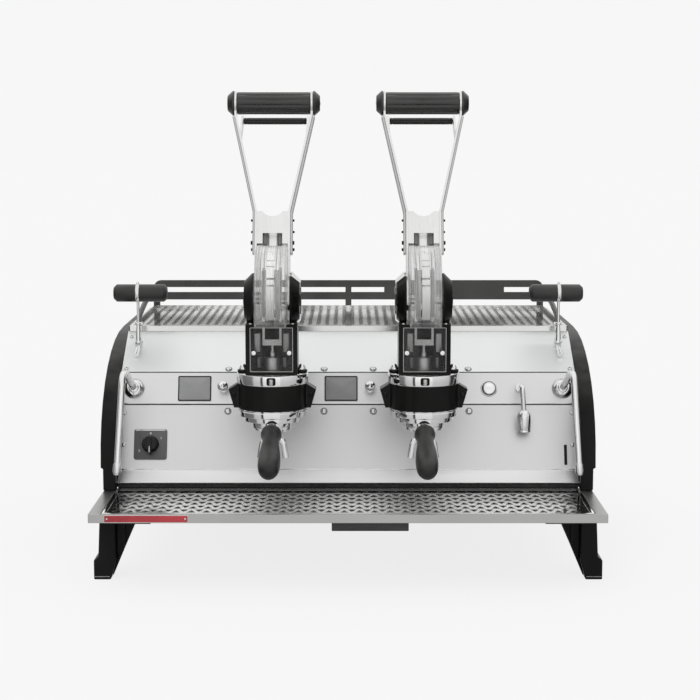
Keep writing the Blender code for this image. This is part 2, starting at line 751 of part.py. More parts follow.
def build_drip_tray(steel, bright_steel):
    """The basin's rim, its floor, the sump under that, and the punched grate on a ledge inside the rim."""
    half = TRAY_WIDTH / 2
    front, back = TRAY_FRONT, TRAY_FRONT + TRAY_DEPTH
    floor = TRAY_BOTTOM + SHEET
    grate_low = TRAY_TOP - GRATE_SHEET
    seat_x = half - TRAY_SIDE_RIM
    seat_y = (front + TRAY_FRONT_RIM, back - TRAY_BACK_RIM)
    well_x = seat_x - GRATE_LEDGE
    well_y = (seat_y[0] + GRATE_LEDGE, seat_y[1] - GRATE_LEDGE)
    piece(
        "drip_basin",
        block((-half, half), (front, back), (TRAY_BOTTOM, TRAY_TOP)),
        steel,
        cuts=[
            block((-seat_x, seat_x), seat_y, (grate_low - SEAT_GAP, TRAY_TOP + OVERRUN)),
            block((-well_x, well_x), well_y, (TRAY_BOTTOM - OVERRUN, TRAY_TOP)),
        ],
    )
    floor_x, floor_y = well_x - SEAT_GAP, (well_y[0] + SEAT_GAP, well_y[1] - SEAT_GAP)
    sump_y = (front + SUMP_FRONT_BACK, floor_y[1] - SHEET / 2)
    sump_in_x, sump_in_y = SUMP_HALF - SHEET, (sump_y[0] + SHEET, sump_y[1] - SHEET)
    sump_in_z = (TRAY_BOTTOM - SUMP_DROP + SHEET, TRAY_BOTTOM + OVERRUN)
    piece(
        "basin_floor",
        block((-floor_x, floor_x), floor_y, (TRAY_BOTTOM, floor)),
        steel,
        cuts=[block((-sump_in_x, sump_in_x), sump_in_y, (TRAY_BOTTOM - OVERRUN, floor + OVERRUN))],
    )
    piece(
        "drip_sump",
        block((-SUMP_HALF, SUMP_HALF), sump_y, (TRAY_BOTTOM - SUMP_DROP, TRAY_BOTTOM - SEAT_GAP)),
        steel,
        cuts=[block((-sump_in_x, sump_in_x), sump_in_y, sump_in_z)],
    )
    grate_x = seat_x - GRATE_SIDE_GAP
    grate_y = (seat_y[0] + GRATE_SIDE_GAP, seat_y[1] - GRATE_SIDE_GAP)
    columns = int((2 * (grate_x - GRATE_MARGIN)) / GRATE_PITCH)
    row_pitch = (grate_y[1] - grate_y[0] - 2 * GRATE_MARGIN) / GRATE_ROWS
    size = GRATE_PITCH * GRATE_HOLE_SHARE
    holes = []
    for row in range(GRATE_ROWS):
        y = grate_y[0] + GRATE_MARGIN + (row + 1 / 2) * row_pitch
        for column in range(columns):
            x = (column - (columns - 1) / 2) * GRATE_PITCH
            half_up = -size / 2 if (row + column) % 2 else size / 2
            outline = [(x - size, y - half_up), (x + size, y - half_up), (x, y + half_up)]
            holes.append(prism(outline, grate_low - OVERRUN, TRAY_TOP + OVERRUN, "z"))
    grate = block((-grate_x, grate_x), grate_y, (grate_low, TRAY_TOP))
    piece("drip_grate", grate, bright_steel, cuts=[gather(holes)])


def build_cup_shelf(steel, black):
    """A perforated shelf with folded edges, and the slotted rail that stands on it."""
    half = BODY_INNER - SHELF_SIDE_GAP
    front, back = UPPER_TOP[0], TRAY_FRONT + MACHINE_DEPTH
    low = UPPER_TOP[1] + SEAT_GAP
    top = low + SHELF_HEIGHT
    under = block((SHEET - half, half - SHEET), (front + SHEET, back - SHEET), (low - OVERRUN, top - SHEET))
    lip = UPPER_FLANGE + SHEET
    columns = int(2 * (half - RAIL_INSET - RAIL_THICK) / SHELF_PITCH)
    inner_front, inner_back = front + lip, back - RAIL_INSET - RAIL_THICK - lip
    row_pitch = (inner_back - inner_front) / SHELF_ROWS
    slots = []
    slot_half = SHELF_PITCH * SHELF_SLOT_SHARE / 2
    for row in range(SHELF_ROWS):
        y = inner_front + (row + 1 / 2) * row_pitch
        for column in range(columns):
            x = (column - (columns - 1) / 2) * SHELF_PITCH
            slots.append(block(
                (x - slot_half, x + slot_half),
                (y - SHELF_SLOT_WIDTH / 2, y + SHELF_SLOT_WIDTH / 2),
                (top - SHEET - OVERRUN, top + OVERRUN),
            ))
    piece("cup_shelf", block((-half, half), (front, back), (low, top)), steel, cuts=[under, gather(slots)])

    rail_low, rail_top = top + SEAT_GAP, top + SEAT_GAP + RAIL_HEIGHT
    rail_y = (back - RAIL_INSET - RAIL_THICK, back - RAIL_INSET)
    plate = rounded(
        [(-RAIL_HALF, rail_low), (RAIL_HALF, rail_low), (RAIL_HALF, rail_top), (-RAIL_HALF, rail_top)],
        RAIL_CORNER, 4, closed=True,
    )
    upper_slot = (rail_top - RAIL_TOP_BAR - RAIL_SLOT_HEIGHT, rail_top - RAIL_TOP_BAR)
    lower_slot = (rail_low + RAIL_END / 2, upper_slot[0] - RAIL_MID_BAR)
    cut_y = (rail_y[0] - OVERRUN, rail_y[1] + OVERRUN)
    post, end = RAIL_POST / 2, RAIL_HALF - RAIL_END
    uppers = [(-end, -post), (post, post + RAIL_SHORT_SLOT), (end - RAIL_SHORT_SLOT, end)]
    cuts = [block(span, cut_y, upper_slot) for span in uppers]
    cuts += [block(span, cut_y, lower_slot) for span in ((-end, -post), (post, end))]
    arm_y = (front + RAIL_END, rail_y[1])
    adds = []
    for side in (-1, 1):
        inner, outer = sorted((side * (RAIL_HALF - RAIL_THICK), side * RAIL_HALF))
        depth = arm_y[1] - arm_y[0]
        outline = [(arm_y[0], rail_low), (arm_y[1], rail_low), (arm_y[1], rail_top - RAIL_CORNER)]
        curve = [
            (arm_y[1] - depth * math.sin(t), rail_low + (rail_top - RAIL_CORNER - rail_low) * math.cos(t))
            for t in (math.pi / 2 * k / 6 for k in range(1, 6))
        ]
        adds.append(prism(outline + curve, inner, outer))
        window = [
            (arm_y[0] + RAIL_ARM_BAR * 3, rail_low + RAIL_ARM_BAR / 2),
            (arm_y[1] - RAIL_ARM_BAR, rail_low + RAIL_ARM_BAR / 2),
            (arm_y[1] - RAIL_ARM_BAR, rail_top - RAIL_CORNER - RAIL_ARM_BAR),
            (arm_y[1] - depth / 2, rail_top - RAIL_CORNER - RAIL_ARM_BAR * 3 / 2),
        ]
        cuts.append(prism(window, inner - OVERRUN, outer + OVERRUN))
    piece("cup_rail", prism(plate, rail_y[0], rail_y[1], "y"), black, adds=adds, cuts=cuts)


def build_controls(lower, control, chrome, black, screen_glass):
    """Screens, knobs, the hot-water button and the rotary switch, each in its facet's frame."""
    line = CONTROL_LINE_UP
    for side_name, along in (("left", 0.0), ("right", CONTROL_SPACING)):
        middle = SCREEN_MIDDLE + along
        piece(
            f"{side_name}_screen",
            block(
                (middle - SCREEN_WIDTH / 2, middle + SCREEN_WIDTH / 2),
                (line - SCREEN_HEIGHT / 2, line + SCREEN_HEIGHT / 2),
                (SEAT_GAP, SEAT_GAP + SCREEN_THICK),
            ),
            screen_glass,
            control,
        )
        pivot = make_empty(f"{side_name}_knob_pivot", (KNOB_MIDDLE + along, line, 0.0), parent=control)
        stem_top = SEAT_GAP + KNOB_STEM_LENGTH
        ball = [
            (KNOB_RADIUS * math.cos(t), stem_top + KNOB_RADIUS + KNOB_RADIUS * math.sin(t))
            for t in (-math.pi / 3 + (5 * math.pi / 6) * k / 6 for k in range(6))
        ]
        profile = [(0.0, SEAT_GAP), (KNOB_STEM_RADIUS, SEAT_GAP), (KNOB_STEM_RADIUS, stem_top), *ball,
                   (0.0, stem_top + 2 * KNOB_RADIUS)]
        piece(f"{side_name}_knob", turned(profile, SMALL_STEPS), chrome, pivot)

    button = make_empty("hot_water_button_slide", (BUTTON_MIDDLE, line, 0.0), parent=control)
    profile = [
        (0.0, -BUTTON_INNER), (BUTTON_RADIUS, -BUTTON_INNER), (BUTTON_RADIUS, BUTTON_PROUD * 3 / 4),
        (BUTTON_RADIUS * 3 / 4, BUTTON_PROUD), (0.0, BUTTON_PROUD),
    ]
    piece("hot_water_button", turned(profile, MID_STEPS), chrome, button)

    pivot = make_empty("rotary_knob_pivot", (SWITCH_MIDDLE, SWITCH_UP, 0.0), parent=lower)
    knob_low = SEAT_GAP + SWITCH_SHAFT_LENGTH
    knob_top = knob_low + SWITCH_KNOB_HEIGHT
    profile = [
        (0.0, SEAT_GAP), (SWITCH_SHAFT_RADIUS, SEAT_GAP), (SWITCH_SHAFT_RADIUS, knob_low),
        (SWITCH_KNOB_RADIUS, knob_low), (SWITCH_KNOB_RADIUS * 4 / 5, knob_top), (0.0, knob_top),
    ]
    dial = turned(profile, MID_STEPS)
    pointer = block(
        (-SWITCH_POINTER_WIDTH / 2, SWITCH_POINTER_WIDTH / 2),
        (-SWITCH_KNOB_RADIUS * 5 / 4, SWITCH_KNOB_RADIUS * 3 / 4),
        (knob_low + SEAT_GAP, knob_top + SWITCH_POINTER_HEIGHT / 2),
    )
    piece("rotary_knob", dial, black, pivot, adds=[pointer])


def build_steam(control, upper, chrome, black):
    """Two steam wands on ball joints, and the two levers that open their valves."""
    tilt = control.rotation_euler.x
    for side_name, side in (("left", -1), ("right", 1)):
        socket = (side * STEAM_MIDDLE, CONTROL_LINE_UP, 0.0)
        ball = make_empty(f"{side_name}_wand_ball", socket, parent=control)
        dome = [
            (WAND_BALL_RADIUS * math.cos(t), SEAT_GAP + SHEET + WAND_BALL_HEIGHT * math.sin(t))
            for t in (math.pi / 2 * k / 4 for k in range(4))
        ]
        dome_top = SEAT_GAP + SHEET + WAND_BALL_HEIGHT
        profile = [(0.0, SEAT_GAP), (WAND_BALL_RADIUS, SEAT_GAP), *dome, (0.0, dome_top)]
        level = Matrix.Rotation(-tilt, 4, "X")
        start = Vector((0.0, 0.0, WAND_BALL_HEIGHT / 2))
        elbow = level @ Vector((side * WAND_ELBOW_OUT, -WAND_REACH, WAND_RISE))
        tip_out, tip_forward = WAND_ELBOW_OUT + WAND_TIP_OUT, WAND_REACH + WAND_FORWARD
        tip = level @ Vector((side * tip_out, -tip_forward, WAND_RISE - WAND_DROP))
        pipe = tube(rounded([start, elbow, tip], WAND_BEND, 4), WAND_RADIUS)
        piece(f"{side_name}_steam_wand", turned(profile, MID_STEPS), chrome, ball, adds=[pipe])

        pivot = make_empty(
            f"{side_name}_steam_lever_pivot", (side * STEAM_MIDDLE, STEAM_PIVOT_UP, STEAM_PIVOT_PROUD),
            -upper.rotation_euler.x, upper,
        )
        stick = rod(STEAM_ROD_RADIUS * 5 / 6, 0.0, STEAM_ROD_LENGTH, SMALL_STEPS)
        eye = rod(STEAM_EYE_RADIUS, -STEAM_ROD_RADIUS, STEAM_ROD_RADIUS, SMALL_STEPS, "x")
        piece(f"{side_name}_steam_lever", eye, chrome, pivot, adds=[stick])
        half = STEAM_GRIP_LENGTH / 2
        shift = -side * STEAM_GRIP_SHIFT
        profile = [
            (STEAM_GRIP_RADIUS - STEAM_GRIP_CHAMFER, shift - half),
            (STEAM_GRIP_RADIUS, shift - half + STEAM_GRIP_CHAMFER),
            (STEAM_GRIP_RADIUS, shift + half - STEAM_GRIP_CHAMFER),
            (STEAM_GRIP_RADIUS - STEAM_GRIP_CHAMFER, shift + half),
        ]
        lying = Matrix.Translation((0.0, 0.0, STEAM_GRIP_UP)) @ Matrix.Rotation(math.pi / 2, 4, "Y")
        hole = rod(STEAM_ROD_RADIUS * 5 / 6 + SEAT_GAP, 0.0, STEAM_ROD_LENGTH + OVERRUN, SMALL_STEPS)
        piece(f"{side_name}_steam_grip", moved(turned(profile, MID_STEPS), lying), black, pivot, cuts=[hole])


def build_tap(control, chrome):
    """The hot-water tap: a nut on the panel, a bent pipe and a bell nozzle, all in one."""
    pivot = make_empty("hot_water_pivot", (TAP_MIDDLE, CONTROL_LINE_UP, 0.0), parent=control)
    level = Matrix.Rotation(-control.rotation_euler.x, 4, "X")
    nut = turned([(TAP_NUT_RADIUS, SEAT_GAP), (TAP_NUT_RADIUS, TAP_NUT_HEIGHT)], 6)
    elbow = Vector((0.0, -TAP_REACH, TAP_RISE))
    outlet = elbow + Vector((TAP_OUT, 0.0, -TAP_DROP))
    path = rounded([(0.0, 0.0, TAP_NUT_HEIGHT / 2), level @ elbow, level @ outlet], TAP_BEND, 4)
    nozzle = turned([
        (NOZZLE_RADIUS * 3 / 5, 0.0), (NOZZLE_RADIUS, -NOZZLE_RADIUS / 2), (NOZZLE_RADIUS, -NOZZLE_HEIGHT),
        (NOZZLE_RADIUS - SHEET, -NOZZLE_HEIGHT), (NOZZLE_RADIUS - SHEET, -NOZZLE_RADIUS),
        (0.0, -NOZZLE_RADIUS),
    ], MID_STEPS)
    hang = level @ Matrix.Translation(outlet + Vector((0.0, 0.0, SHEET)))
    piece("hot_water_spout", nut, chrome, pivot, adds=[tube(path, TAP_PIPE_RADIUS), moved(nozzle, hang)])


def build_group_head(side_name, group, chrome, black):
    """The group's turned body: bell, cylinder, flange and rod sleeve. The band is clamped round it."""
    lip_radius = PORTAFILTER_RADIUS + RUN_GAP * 2
    socket_radius = PORTAFILTER_RADIUS + LUG_PROUD + RUN_GAP * 2
    rod_hole = ROD_RADIUS + RUN_GAP
    core = BAND_RADIUS - BAND_WALL - SEAT_GAP
    profile = [
        (lip_radius, BELL_FOOT), (LOWER_BELL_RADIUS, BELL_FOOT),
        (LOWER_BELL_RADIUS, BELL_FOOT + LOWER_BELL_HEIGHT),
        (UPPER_BELL_RADIUS, BELL_FOOT + LOWER_BELL_HEIGHT), (UPPER_BELL_RADIUS, BAND_FOOT),
        (core, BAND_FOOT), (core, FLANGE_FOOT), (FLANGE_RADIUS, FLANGE_FOOT), (FLANGE_RADIUS, FLANGE_TOP),
        (SLEEVE_RADIUS, FLANGE_TOP), (SLEEVE_RADIUS, FLANGE_TOP + SLEEVE_HEIGHT),
        (rod_hole, FLANGE_TOP + SLEEVE_HEIGHT),
        (rod_hole, CYLINDER_TOP), (CYLINDER_RADIUS, CYLINDER_TOP), (CYLINDER_RADIUS, SOCKET_CEILING),
        (socket_radius, SOCKET_CEILING), (socket_radius, BELL_FOOT + SOCKET_LIP_HEIGHT),
        (lip_radius, BELL_FOOT + SOCKET_LIP_HEIGHT),
    ]
    reach = socket_radius - RUN_GAP / 2
    notch_half = LUG_WIDTH / 2 + RUN_GAP
    notch_z = (BELL_FOOT - OVERRUN, BELL_FOOT + SOCKET_LIP_HEIGHT + RUN_GAP)
    notch = block((-reach, reach), (-notch_half, notch_half), notch_z)
    notch = moved(notch, Matrix.Rotation(-math.pi / 4, 4, "Z"))
    piece(f"{side_name}_group_head", turned(profile, ring=True), chrome, group, cuts=[notch])

    low, high = BAND_FOOT + SEAT_GAP, FLANGE_FOOT - SEAT_GAP
    inner = BAND_RADIUS - BAND_WALL
    ring = turned([(inner, low), (BAND_RADIUS, low), (BAND_RADIUS, high), (inner, high)], ring=True)
    ears = []
    for side in (-1, 1):
        outline = [
            (side * (inner + BAND_WALL / 2), low), (side * BAND_EAR_FOOT_REACH, low),
            (side * BAND_EAR_REACH, high - BAND_EAR_DROP), (side * (inner + BAND_WALL / 2), high),
        ]
        ears.append(prism(outline, -BAND_EAR_DEPTH / 2, BAND_EAR_DEPTH / 2, "y"))
    bore = rod(inner, low - OVERRUN, high + OVERRUN, BIG_STEPS)
    piece(f"{side_name}_group_band", ring, black, group, adds=ears, cuts=[bore])


def build_tower(side_name, group, black, smoky):
    """The black tower that carries the lever: posts, rear wall, roof, neck and the two shaft housings."""
    half = TOWER_WIDTH / 2
    inner = half - TOWER_WALL
    body = block((-half, half), (-TOWER_FRONT, TOWER_REAR), (TOWER_FOOT, TOWER_TOP))
    room = block(
        (-inner, inner), (-TOWER_FRONT - OVERRUN, TOWER_REAR - TOWER_WALL),
        (TOWER_FOOT + TOWER_BASE, TOWER_TOP - TOWER_ROOF),
    )
    slot_x = STIRRUP_INNER + STIRRUP_THICK + RUN_GAP
    slot_y = STIRRUP_DEPTH / 2 + RUN_GAP
    slot_z = (TOWER_TOP - TOWER_ROOF - OVERRUN, TOWER_TOP + OVERRUN)
    roof_slot = block((-slot_x, slot_x), (-slot_y, slot_y), slot_z)
    hole_z = (TOWER_FOOT - OVERRUN, TOWER_FOOT + TOWER_BASE + OVERRUN)
    sleeve_hole = rod(SLEEVE_RADIUS + SEAT_GAP, *hole_z, BIG_STEPS)
    neck_foot = FLANGE_FOOT + RUN_GAP + SEAT_GAP
    neck_end = NECK_END_BACK - GROUP_BACK
    neck = [
        (TOWER_REAR - TOWER_WALL / 2, TOWER_FOOT), (NECK_FOOT_BACK - GROUP_BACK, TOWER_FOOT),
        (NECK_FOOT_BACK - GROUP_BACK, neck_foot), (neck_end, neck_foot),
        (neck_end, neck_foot + NECK_HEIGHT), (TOWER_REAR - TOWER_WALL / 2, neck_foot + NECK_HEIGHT),
    ]
    adds = [prism(neck, -NECK_WIDTH / 2, NECK_WIDTH / 2)]
    bearings = []
    for side in (-1, 1):
        near, far = side * HOUSING_INNER, side * HOUSING_OUTER
        shoulder = far - side * HOUSING_CHAMFER
        small = HOUSING_RADIUS - HOUSING_CHAMFER
        ring_points = ((HOUSING_RADIUS, near), (HOUSING_RADIUS, shoulder), (small, far))
        housing = turned([(radius, along) for radius, along in ring_points], BIG_STEPS)
        lying = Matrix.Translation((0.0, 0.0, PIVOT_HEIGHT)) @ Matrix.Rotation(math.pi / 2, 4, "Y")
        adds.append(moved(housing, lying))
        post_top = PIVOT_HEIGHT - HOUSING_RADIUS / 2
        post_x = tuple(sorted((side * inner, side * (half - OVERRUN / 4))))
        adds.append(block(post_x, (-TOWER_FRONT / 2, TOWER_REAR / 2), (TOWER_TOP - OVERRUN, post_top)))
        bore = tuple(sorted((side * (HOUSING_INNER - OVERRUN), side * (HOUSING_OUTER - SHAFT_END_WALL))))
        bearings.append(rod(SHAFT_RADIUS + SEAT_GAP, *bore, MID_STEPS, "x", (0.0, 0.0, PIVOT_HEIGHT)))
    cuts = [room, roof_slot, sleeve_hole, *bearings]
    piece(f"{side_name}_group_tower", body, black, group, adds=adds, cuts=cuts)
    window_x = inner - SEAT_GAP
    window = block(
        (-window_x, window_x), (RUN_GAP - TOWER_FRONT, RUN_GAP - TOWER_FRONT + WINDOW_THICK),
        (TOWER_FOOT + TOWER_BASE + SEAT_GAP, TOWER_TOP - TOWER_ROOF - SEAT_GAP),
    )
    piece(f"{side_name}_tower_window", window, smoky, group)


def build_cam_cover(side_name, group, clear):
    """A clear drum round the cam, cut off flat where it stands on the tower, open underneath."""
    foot = TOWER_TOP + SEAT_GAP - PIVOT_HEIGHT

    def drum(radius, low):
        dip = math.asin(foot / radius)
        outline = circle(radius, dip, math.pi - dip, COVER_STEPS)
        return [(y, z + PIVOT_HEIGHT) for y, z in [(outline[-1][0], low), (outline[0][0], low), *outline]]

    outer = drum(COVER_RADIUS, foot)[2:]
    wall_x = COVER_HALF - COVER_WALL
    shell = prism(outer, -COVER_HALF, COVER_HALF)
    hollow = prism(drum(COVER_RADIUS - COVER_WALL, foot - OVERRUN), -wall_x, wall_x)
    reach, middle = COVER_HALF + OVERRUN, (0.0, 0.0, PIVOT_HEIGHT)
    bore = rod(SHAFT_RADIUS + RUN_GAP, -reach, reach, MID_STEPS, "x", middle)
    piece(f"{side_name}_cam_cover", shell, clear, group, cuts=[hollow, bore])


def cam_outline():
    """The cam seen from +X, in (y, z) about the shaft with the lever upright at rest.

    The roller's centre has to rise evenly with the lever's turn, so it follows a spiral. The cam's edge
    lies one roller radius inside that spiral, measured square to it.
    """
    rise = PISTON_STROKE / LEVER_PULL_TURN
    offset = ROLLER_RADIUS + SEAT_GAP
    lead = CAM_LOW_RADIUS / COVER_RADIUS
    points = []
    steps = 16
    for k in range(steps + 1):
        turn = -lead / 2 + (LEVER_PULL_TURN + lead) * k / steps
        angle = math.pi / 2 - turn
        reach = CAM_LOW_RADIUS + offset + rise * turn
        centre = Vector((reach * math.cos(angle), reach * math.sin(angle)))
        along = Vector((
            -rise * math.cos(angle) - reach * math.sin(angle),
            -rise * math.sin(angle) + reach * math.cos(angle),
        )).normalized()
        inward = Vector((-along.y, along.x))
        if inward.dot(centre) > 0:
            inward = -inward
        points.append(tuple(centre + inward * offset))
    last = math.atan2(points[-1][1], points[-1][0])
    back_start, back_end = last - math.pi / 5, -3 * math.pi / 2 + math.pi / 5
    return points + circle(CAM_BACK_RADIUS, back_start, back_end, 8)


def build_cam(side_name, lever, steel):
    """The cam and its shaft, which the lever's arms turn."""
    outline = cam_outline()
    cam = prism(outline, -CAM_WIDTH / 2, CAM_WIDTH / 2)
    cam = moved(cam, Matrix.Rotation(-LEVER_LEAN, 4, "X").inverted())
    end = HOUSING_OUTER - SHAFT_END_WALL - SEAT_GAP
    piece(f"{side_name}_lever_cam", cam, steel, lever, adds=[rod(SHAFT_RADIUS, -end, end, MID_STEPS, "x")])


def branch_height():
    """How far up the flaring arms the straight rear fingers leave them."""
    bend = BRIDGE_FOOT + BRIDGE_HEIGHT
    share = (REAR_BAR_LENGTH / 2 + SEAT_GAP - ARM_INNER) / (GRIP_ARM_INNER - ARM_INNER)
    return bend + share * (FLARE_END - bend)


def arm_shift(up):
    """How far an arm has flared out at this distance from the pivot."""
    bend = BRIDGE_FOOT + BRIDGE_HEIGHT
    share = min(max((up - bend) / (FLARE_END - bend), 0.0), 1.0)
    return share * (GRIP_ARM_INNER - ARM_INNER)


def build_lever(side_name, lever, steel, black):
    """The lever, upright in its own frame: a flared fork, its bridge block, the grip and the rear bar."""
    bend = BRIDGE_FOOT + BRIDGE_HEIGHT
    stations = (
        (0.0, ARM_ROOT_DEPTH), (BRIDGE_FOOT, ARM_BEND_DEPTH), (bend, ARM_BEND_DEPTH),
        (FLARE_END, ARM_TOP_DEPTH), (LEVER_LENGTH, ARM_TOP_DEPTH),
    )
    bar_up, bar_back = LEVER_LENGTH - REAR_BAR_BELOW, REAR_BAR_BEHIND
    branch = branch_height()
    finger_half, finger_root = REAR_FINGER_DEPTH / 2, ARM_BEND_DEPTH / 2 - RUN_GAP
    finger = [
        (-ARM_TOP_DEPTH / 3, branch - finger_half), (finger_root, branch - finger_half),
        (bar_back + finger_half, bar_up - finger_half / 2),
        (bar_back + finger_half, bar_up + finger_half / 2),
        (bar_back + finger_half / 2, bar_up + finger_half),
        (bar_back - finger_half / 2, bar_up + finger_half),
        (ARM_TOP_DEPTH / 3, branch + finger_half), (-ARM_TOP_DEPTH / 3, branch + finger_half),
    ]
    adds, cuts = [], []
    arms = []
    for side in (-1, 1):
        rings = []
        for up, depth in stations:
            near = side * (ARM_INNER + arm_shift(up))
            far = near + side * ARM_THICK
            half = depth / 2
            rings.append([(near, -half, up), (far, -half, up), (far, half, up), (near, half, up)])
        arms.append(skin(rings))
        root = sorted((side * ARM_INNER, side * (ARM_INNER + ARM_THICK)))
        adds.append(rod(ARM_ROOT_DEPTH / 2, root[0], root[1], MID_STEPS, "x"))
        top = sorted((side * GRIP_ARM_INNER, side * (GRIP_ARM_INNER + ARM_THICK)))
        adds.append(rod(ARM_END_RADIUS, top[0], top[1], MID_STEPS, "x", (0.0, 0.0, LEVER_LENGTH)))
        finger_near = side * (REAR_BAR_LENGTH / 2 + SEAT_GAP)
        adds.append(prism(finger, finger_near, finger_near + side * ARM_THICK))
        cuts.append(rod(SHAFT_RADIUS + SEAT_GAP, min(root) - OVERRUN, max(root) + OVERRUN, MID_STEPS, "x"))
        core = GRIP_CORE_RADIUS + SEAT_GAP
        eye = (min(top) - OVERRUN, max(top) + OVERRUN)
        cuts.append(rod(core, *eye, MID_STEPS, "x", (0.0, 0.0, LEVER_LENGTH)))
    bridge_x = ARM_INNER + ARM_THICK / 2
    adds.append(block((-bridge_x, bridge_x), (-BRIDGE_DEPTH / 2, BRIDGE_DEPTH / 2), (BRIDGE_FOOT, bend)))
    adds.append(arms[1])
    notch = BRIDGE_NOTCH_WIDTH / 2
    notch_up = (BRIDGE_FOOT - OVERRUN, BRIDGE_FOOT + BRIDGE_NOTCH_HEIGHT)
    cuts.append(block((-notch, notch), (-BRIDGE_DEPTH, BRIDGE_DEPTH), notch_up))
    scoop_up = bend + BRIDGE_SCOOP_RADIUS - BRIDGE_SCOOP_DEPTH
    cuts.append(rod(BRIDGE_SCOOP_RADIUS, -BRIDGE_DEPTH, BRIDGE_DEPTH, MID_STEPS, "y", (0.0, 0.0, scoop_up)))
    piece(f"{side_name}_lever_yoke", arms[0], steel, lever, adds=adds, cuts=cuts)

    build_grip(side_name, lever, black)
    bar_half = REAR_BAR_LENGTH / 2
    bar = rod(REAR_BAR_RADIUS, -bar_half, bar_half, SMALL_STEPS, "x", (0.0, bar_back, bar_up))
    piece(f"{side_name}_lever_rear_bar", bar, black, lever)


def build_grip(side_name, lever, black):
    """The fluted grip with a chamfered cap at each end, on a core that passes through both arms."""
    count = 2 * GRIP_FLUTES
    turns = [2 * math.pi * k / count for k in range(count)]

    def ring(radius, along, flute=0.0):
        radii = [radius - (flute if k % 2 else 0.0) for k in range(count)]
        return [(along, r * math.sin(t), LEVER_LENGTH + r * math.cos(t)) for r, t in zip(radii, turns)]

    inner = GRIP_ARM_INNER - SEAT_GAP
    cap_near = GRIP_LENGTH / 2 - GRIP_CAP_WIDTH
    end = GRIP_LENGTH / 2
    rings = [
        ring(GRIP_CAP_END_RADIUS, -end), ring(GRIP_CAP_RADIUS, -cap_near - SHEET),
        ring(GRIP_CAP_RADIUS, -cap_near),
        ring(GRIP_CORE_RADIUS, -cap_near), ring(GRIP_CORE_RADIUS, -inner),
        ring(GRIP_RADIUS, -inner, GRIP_FLUTE_DEPTH), ring(GRIP_RADIUS, inner, GRIP_FLUTE_DEPTH),
        ring(GRIP_CORE_RADIUS, inner), ring(GRIP_CORE_RADIUS, cap_near),
        ring(GRIP_CAP_RADIUS, cap_near),
        ring(GRIP_CAP_RADIUS, cap_near + SHEET), ring(GRIP_CAP_END_RADIUS, end),
    ]
    piece(f"{side_name}_lever_grip", skin(rings), black, lever)


def build_piston(side_name, group, steel):
    """Piston, rod and the stirrup that straddles the cam, with the roller that rides on the cam's edge."""
    slide = make_empty(f"{side_name}_piston_slide", (0.0, 0.0, 0.0), parent=group)
    roller_up = PIVOT_HEIGHT + CAM_LOW_RADIUS + ROLLER_RADIUS + SEAT_GAP
    stirrup_x = STIRRUP_INNER + STIRRUP_THICK
    half = STIRRUP_DEPTH / 2
    foot_top = STIRRUP_FOOT + STIRRUP_FOOT_HEIGHT
    stem = turned([
        (CYLINDER_RADIUS - SEAT_GAP, PISTON_FOOT), (CYLINDER_RADIUS - SEAT_GAP, PISTON_FOOT + PISTON_HEIGHT),
        (ROD_RADIUS, PISTON_FOOT + PISTON_HEIGHT), (ROD_RADIUS, STIRRUP_FOOT + STIRRUP_FOOT_HEIGHT / 2),
    ], BIG_STEPS)
    adds = [block((-stirrup_x, stirrup_x), (-half, half), (STIRRUP_FOOT, foot_top))]
    slot_half = SHAFT_RADIUS + RUN_GAP
    for side in (-1, 1):
        span = tuple(sorted((side * STIRRUP_INNER, side * stirrup_x)))
        adds.append(block(span, (-half, half), (foot_top - OVERRUN / 2, roller_up + STIRRUP_TOP)))
    slot_low = PIVOT_HEIGHT - SHAFT_RADIUS - PISTON_STROKE - 2 * RUN_GAP
    slot_top = PIVOT_HEIGHT + SHAFT_RADIUS + 2 * RUN_GAP
    slot_x = stirrup_x + OVERRUN
    cuts = [block((-slot_x, slot_x), (-slot_half, slot_half), (slot_low, slot_top))]
    adds.append(rod(ROLLER_RADIUS, -STIRRUP_INNER - OVERRUN / 4, STIRRUP_INNER + OVERRUN / 4, MID_STEPS, "x",
                    (0.0, 0.0, roller_up)))
    piece(f"{side_name}_piston_rod", stem, steel, slide, adds=adds, cuts=cuts)
    return slide


def build_spring(side_name, group, steel):
    """The coil between the piston and the cylinder's roof."""
    low = PISTON_FOOT + PISTON_HEIGHT + SEAT_GAP + SPRING_WIRE
    high = CYLINDER_TOP - SEAT_GAP - SPRING_WIRE
    count = SPRING_TURNS * SPRING_POINTS
    curve = bpy.data.curves.new(f"{side_name}_piston_spring", "CURVE")
    curve.dimensions = "3D"
    curve.bevel_depth = SPRING_WIRE
    curve.bevel_resolution = 1
    curve.use_fill_caps = True
    spline = curve.splines.new("POLY")
    spline.points.add(count)
    for k, point in enumerate(spline.points):
        turn = 2 * math.pi * k / SPRING_POINTS
        height = low + (high - low) * k / count
        point.co = (SPRING_RADIUS * math.cos(turn), SPRING_RADIUS * math.sin(turn), height, 1.0)
    obj = bpy.data.objects.new(f"{side_name}_piston_spring", curve)
    obj.data.materials.append(steel)
    obj.parent = group
    bpy.context.collection.objects.link(obj)


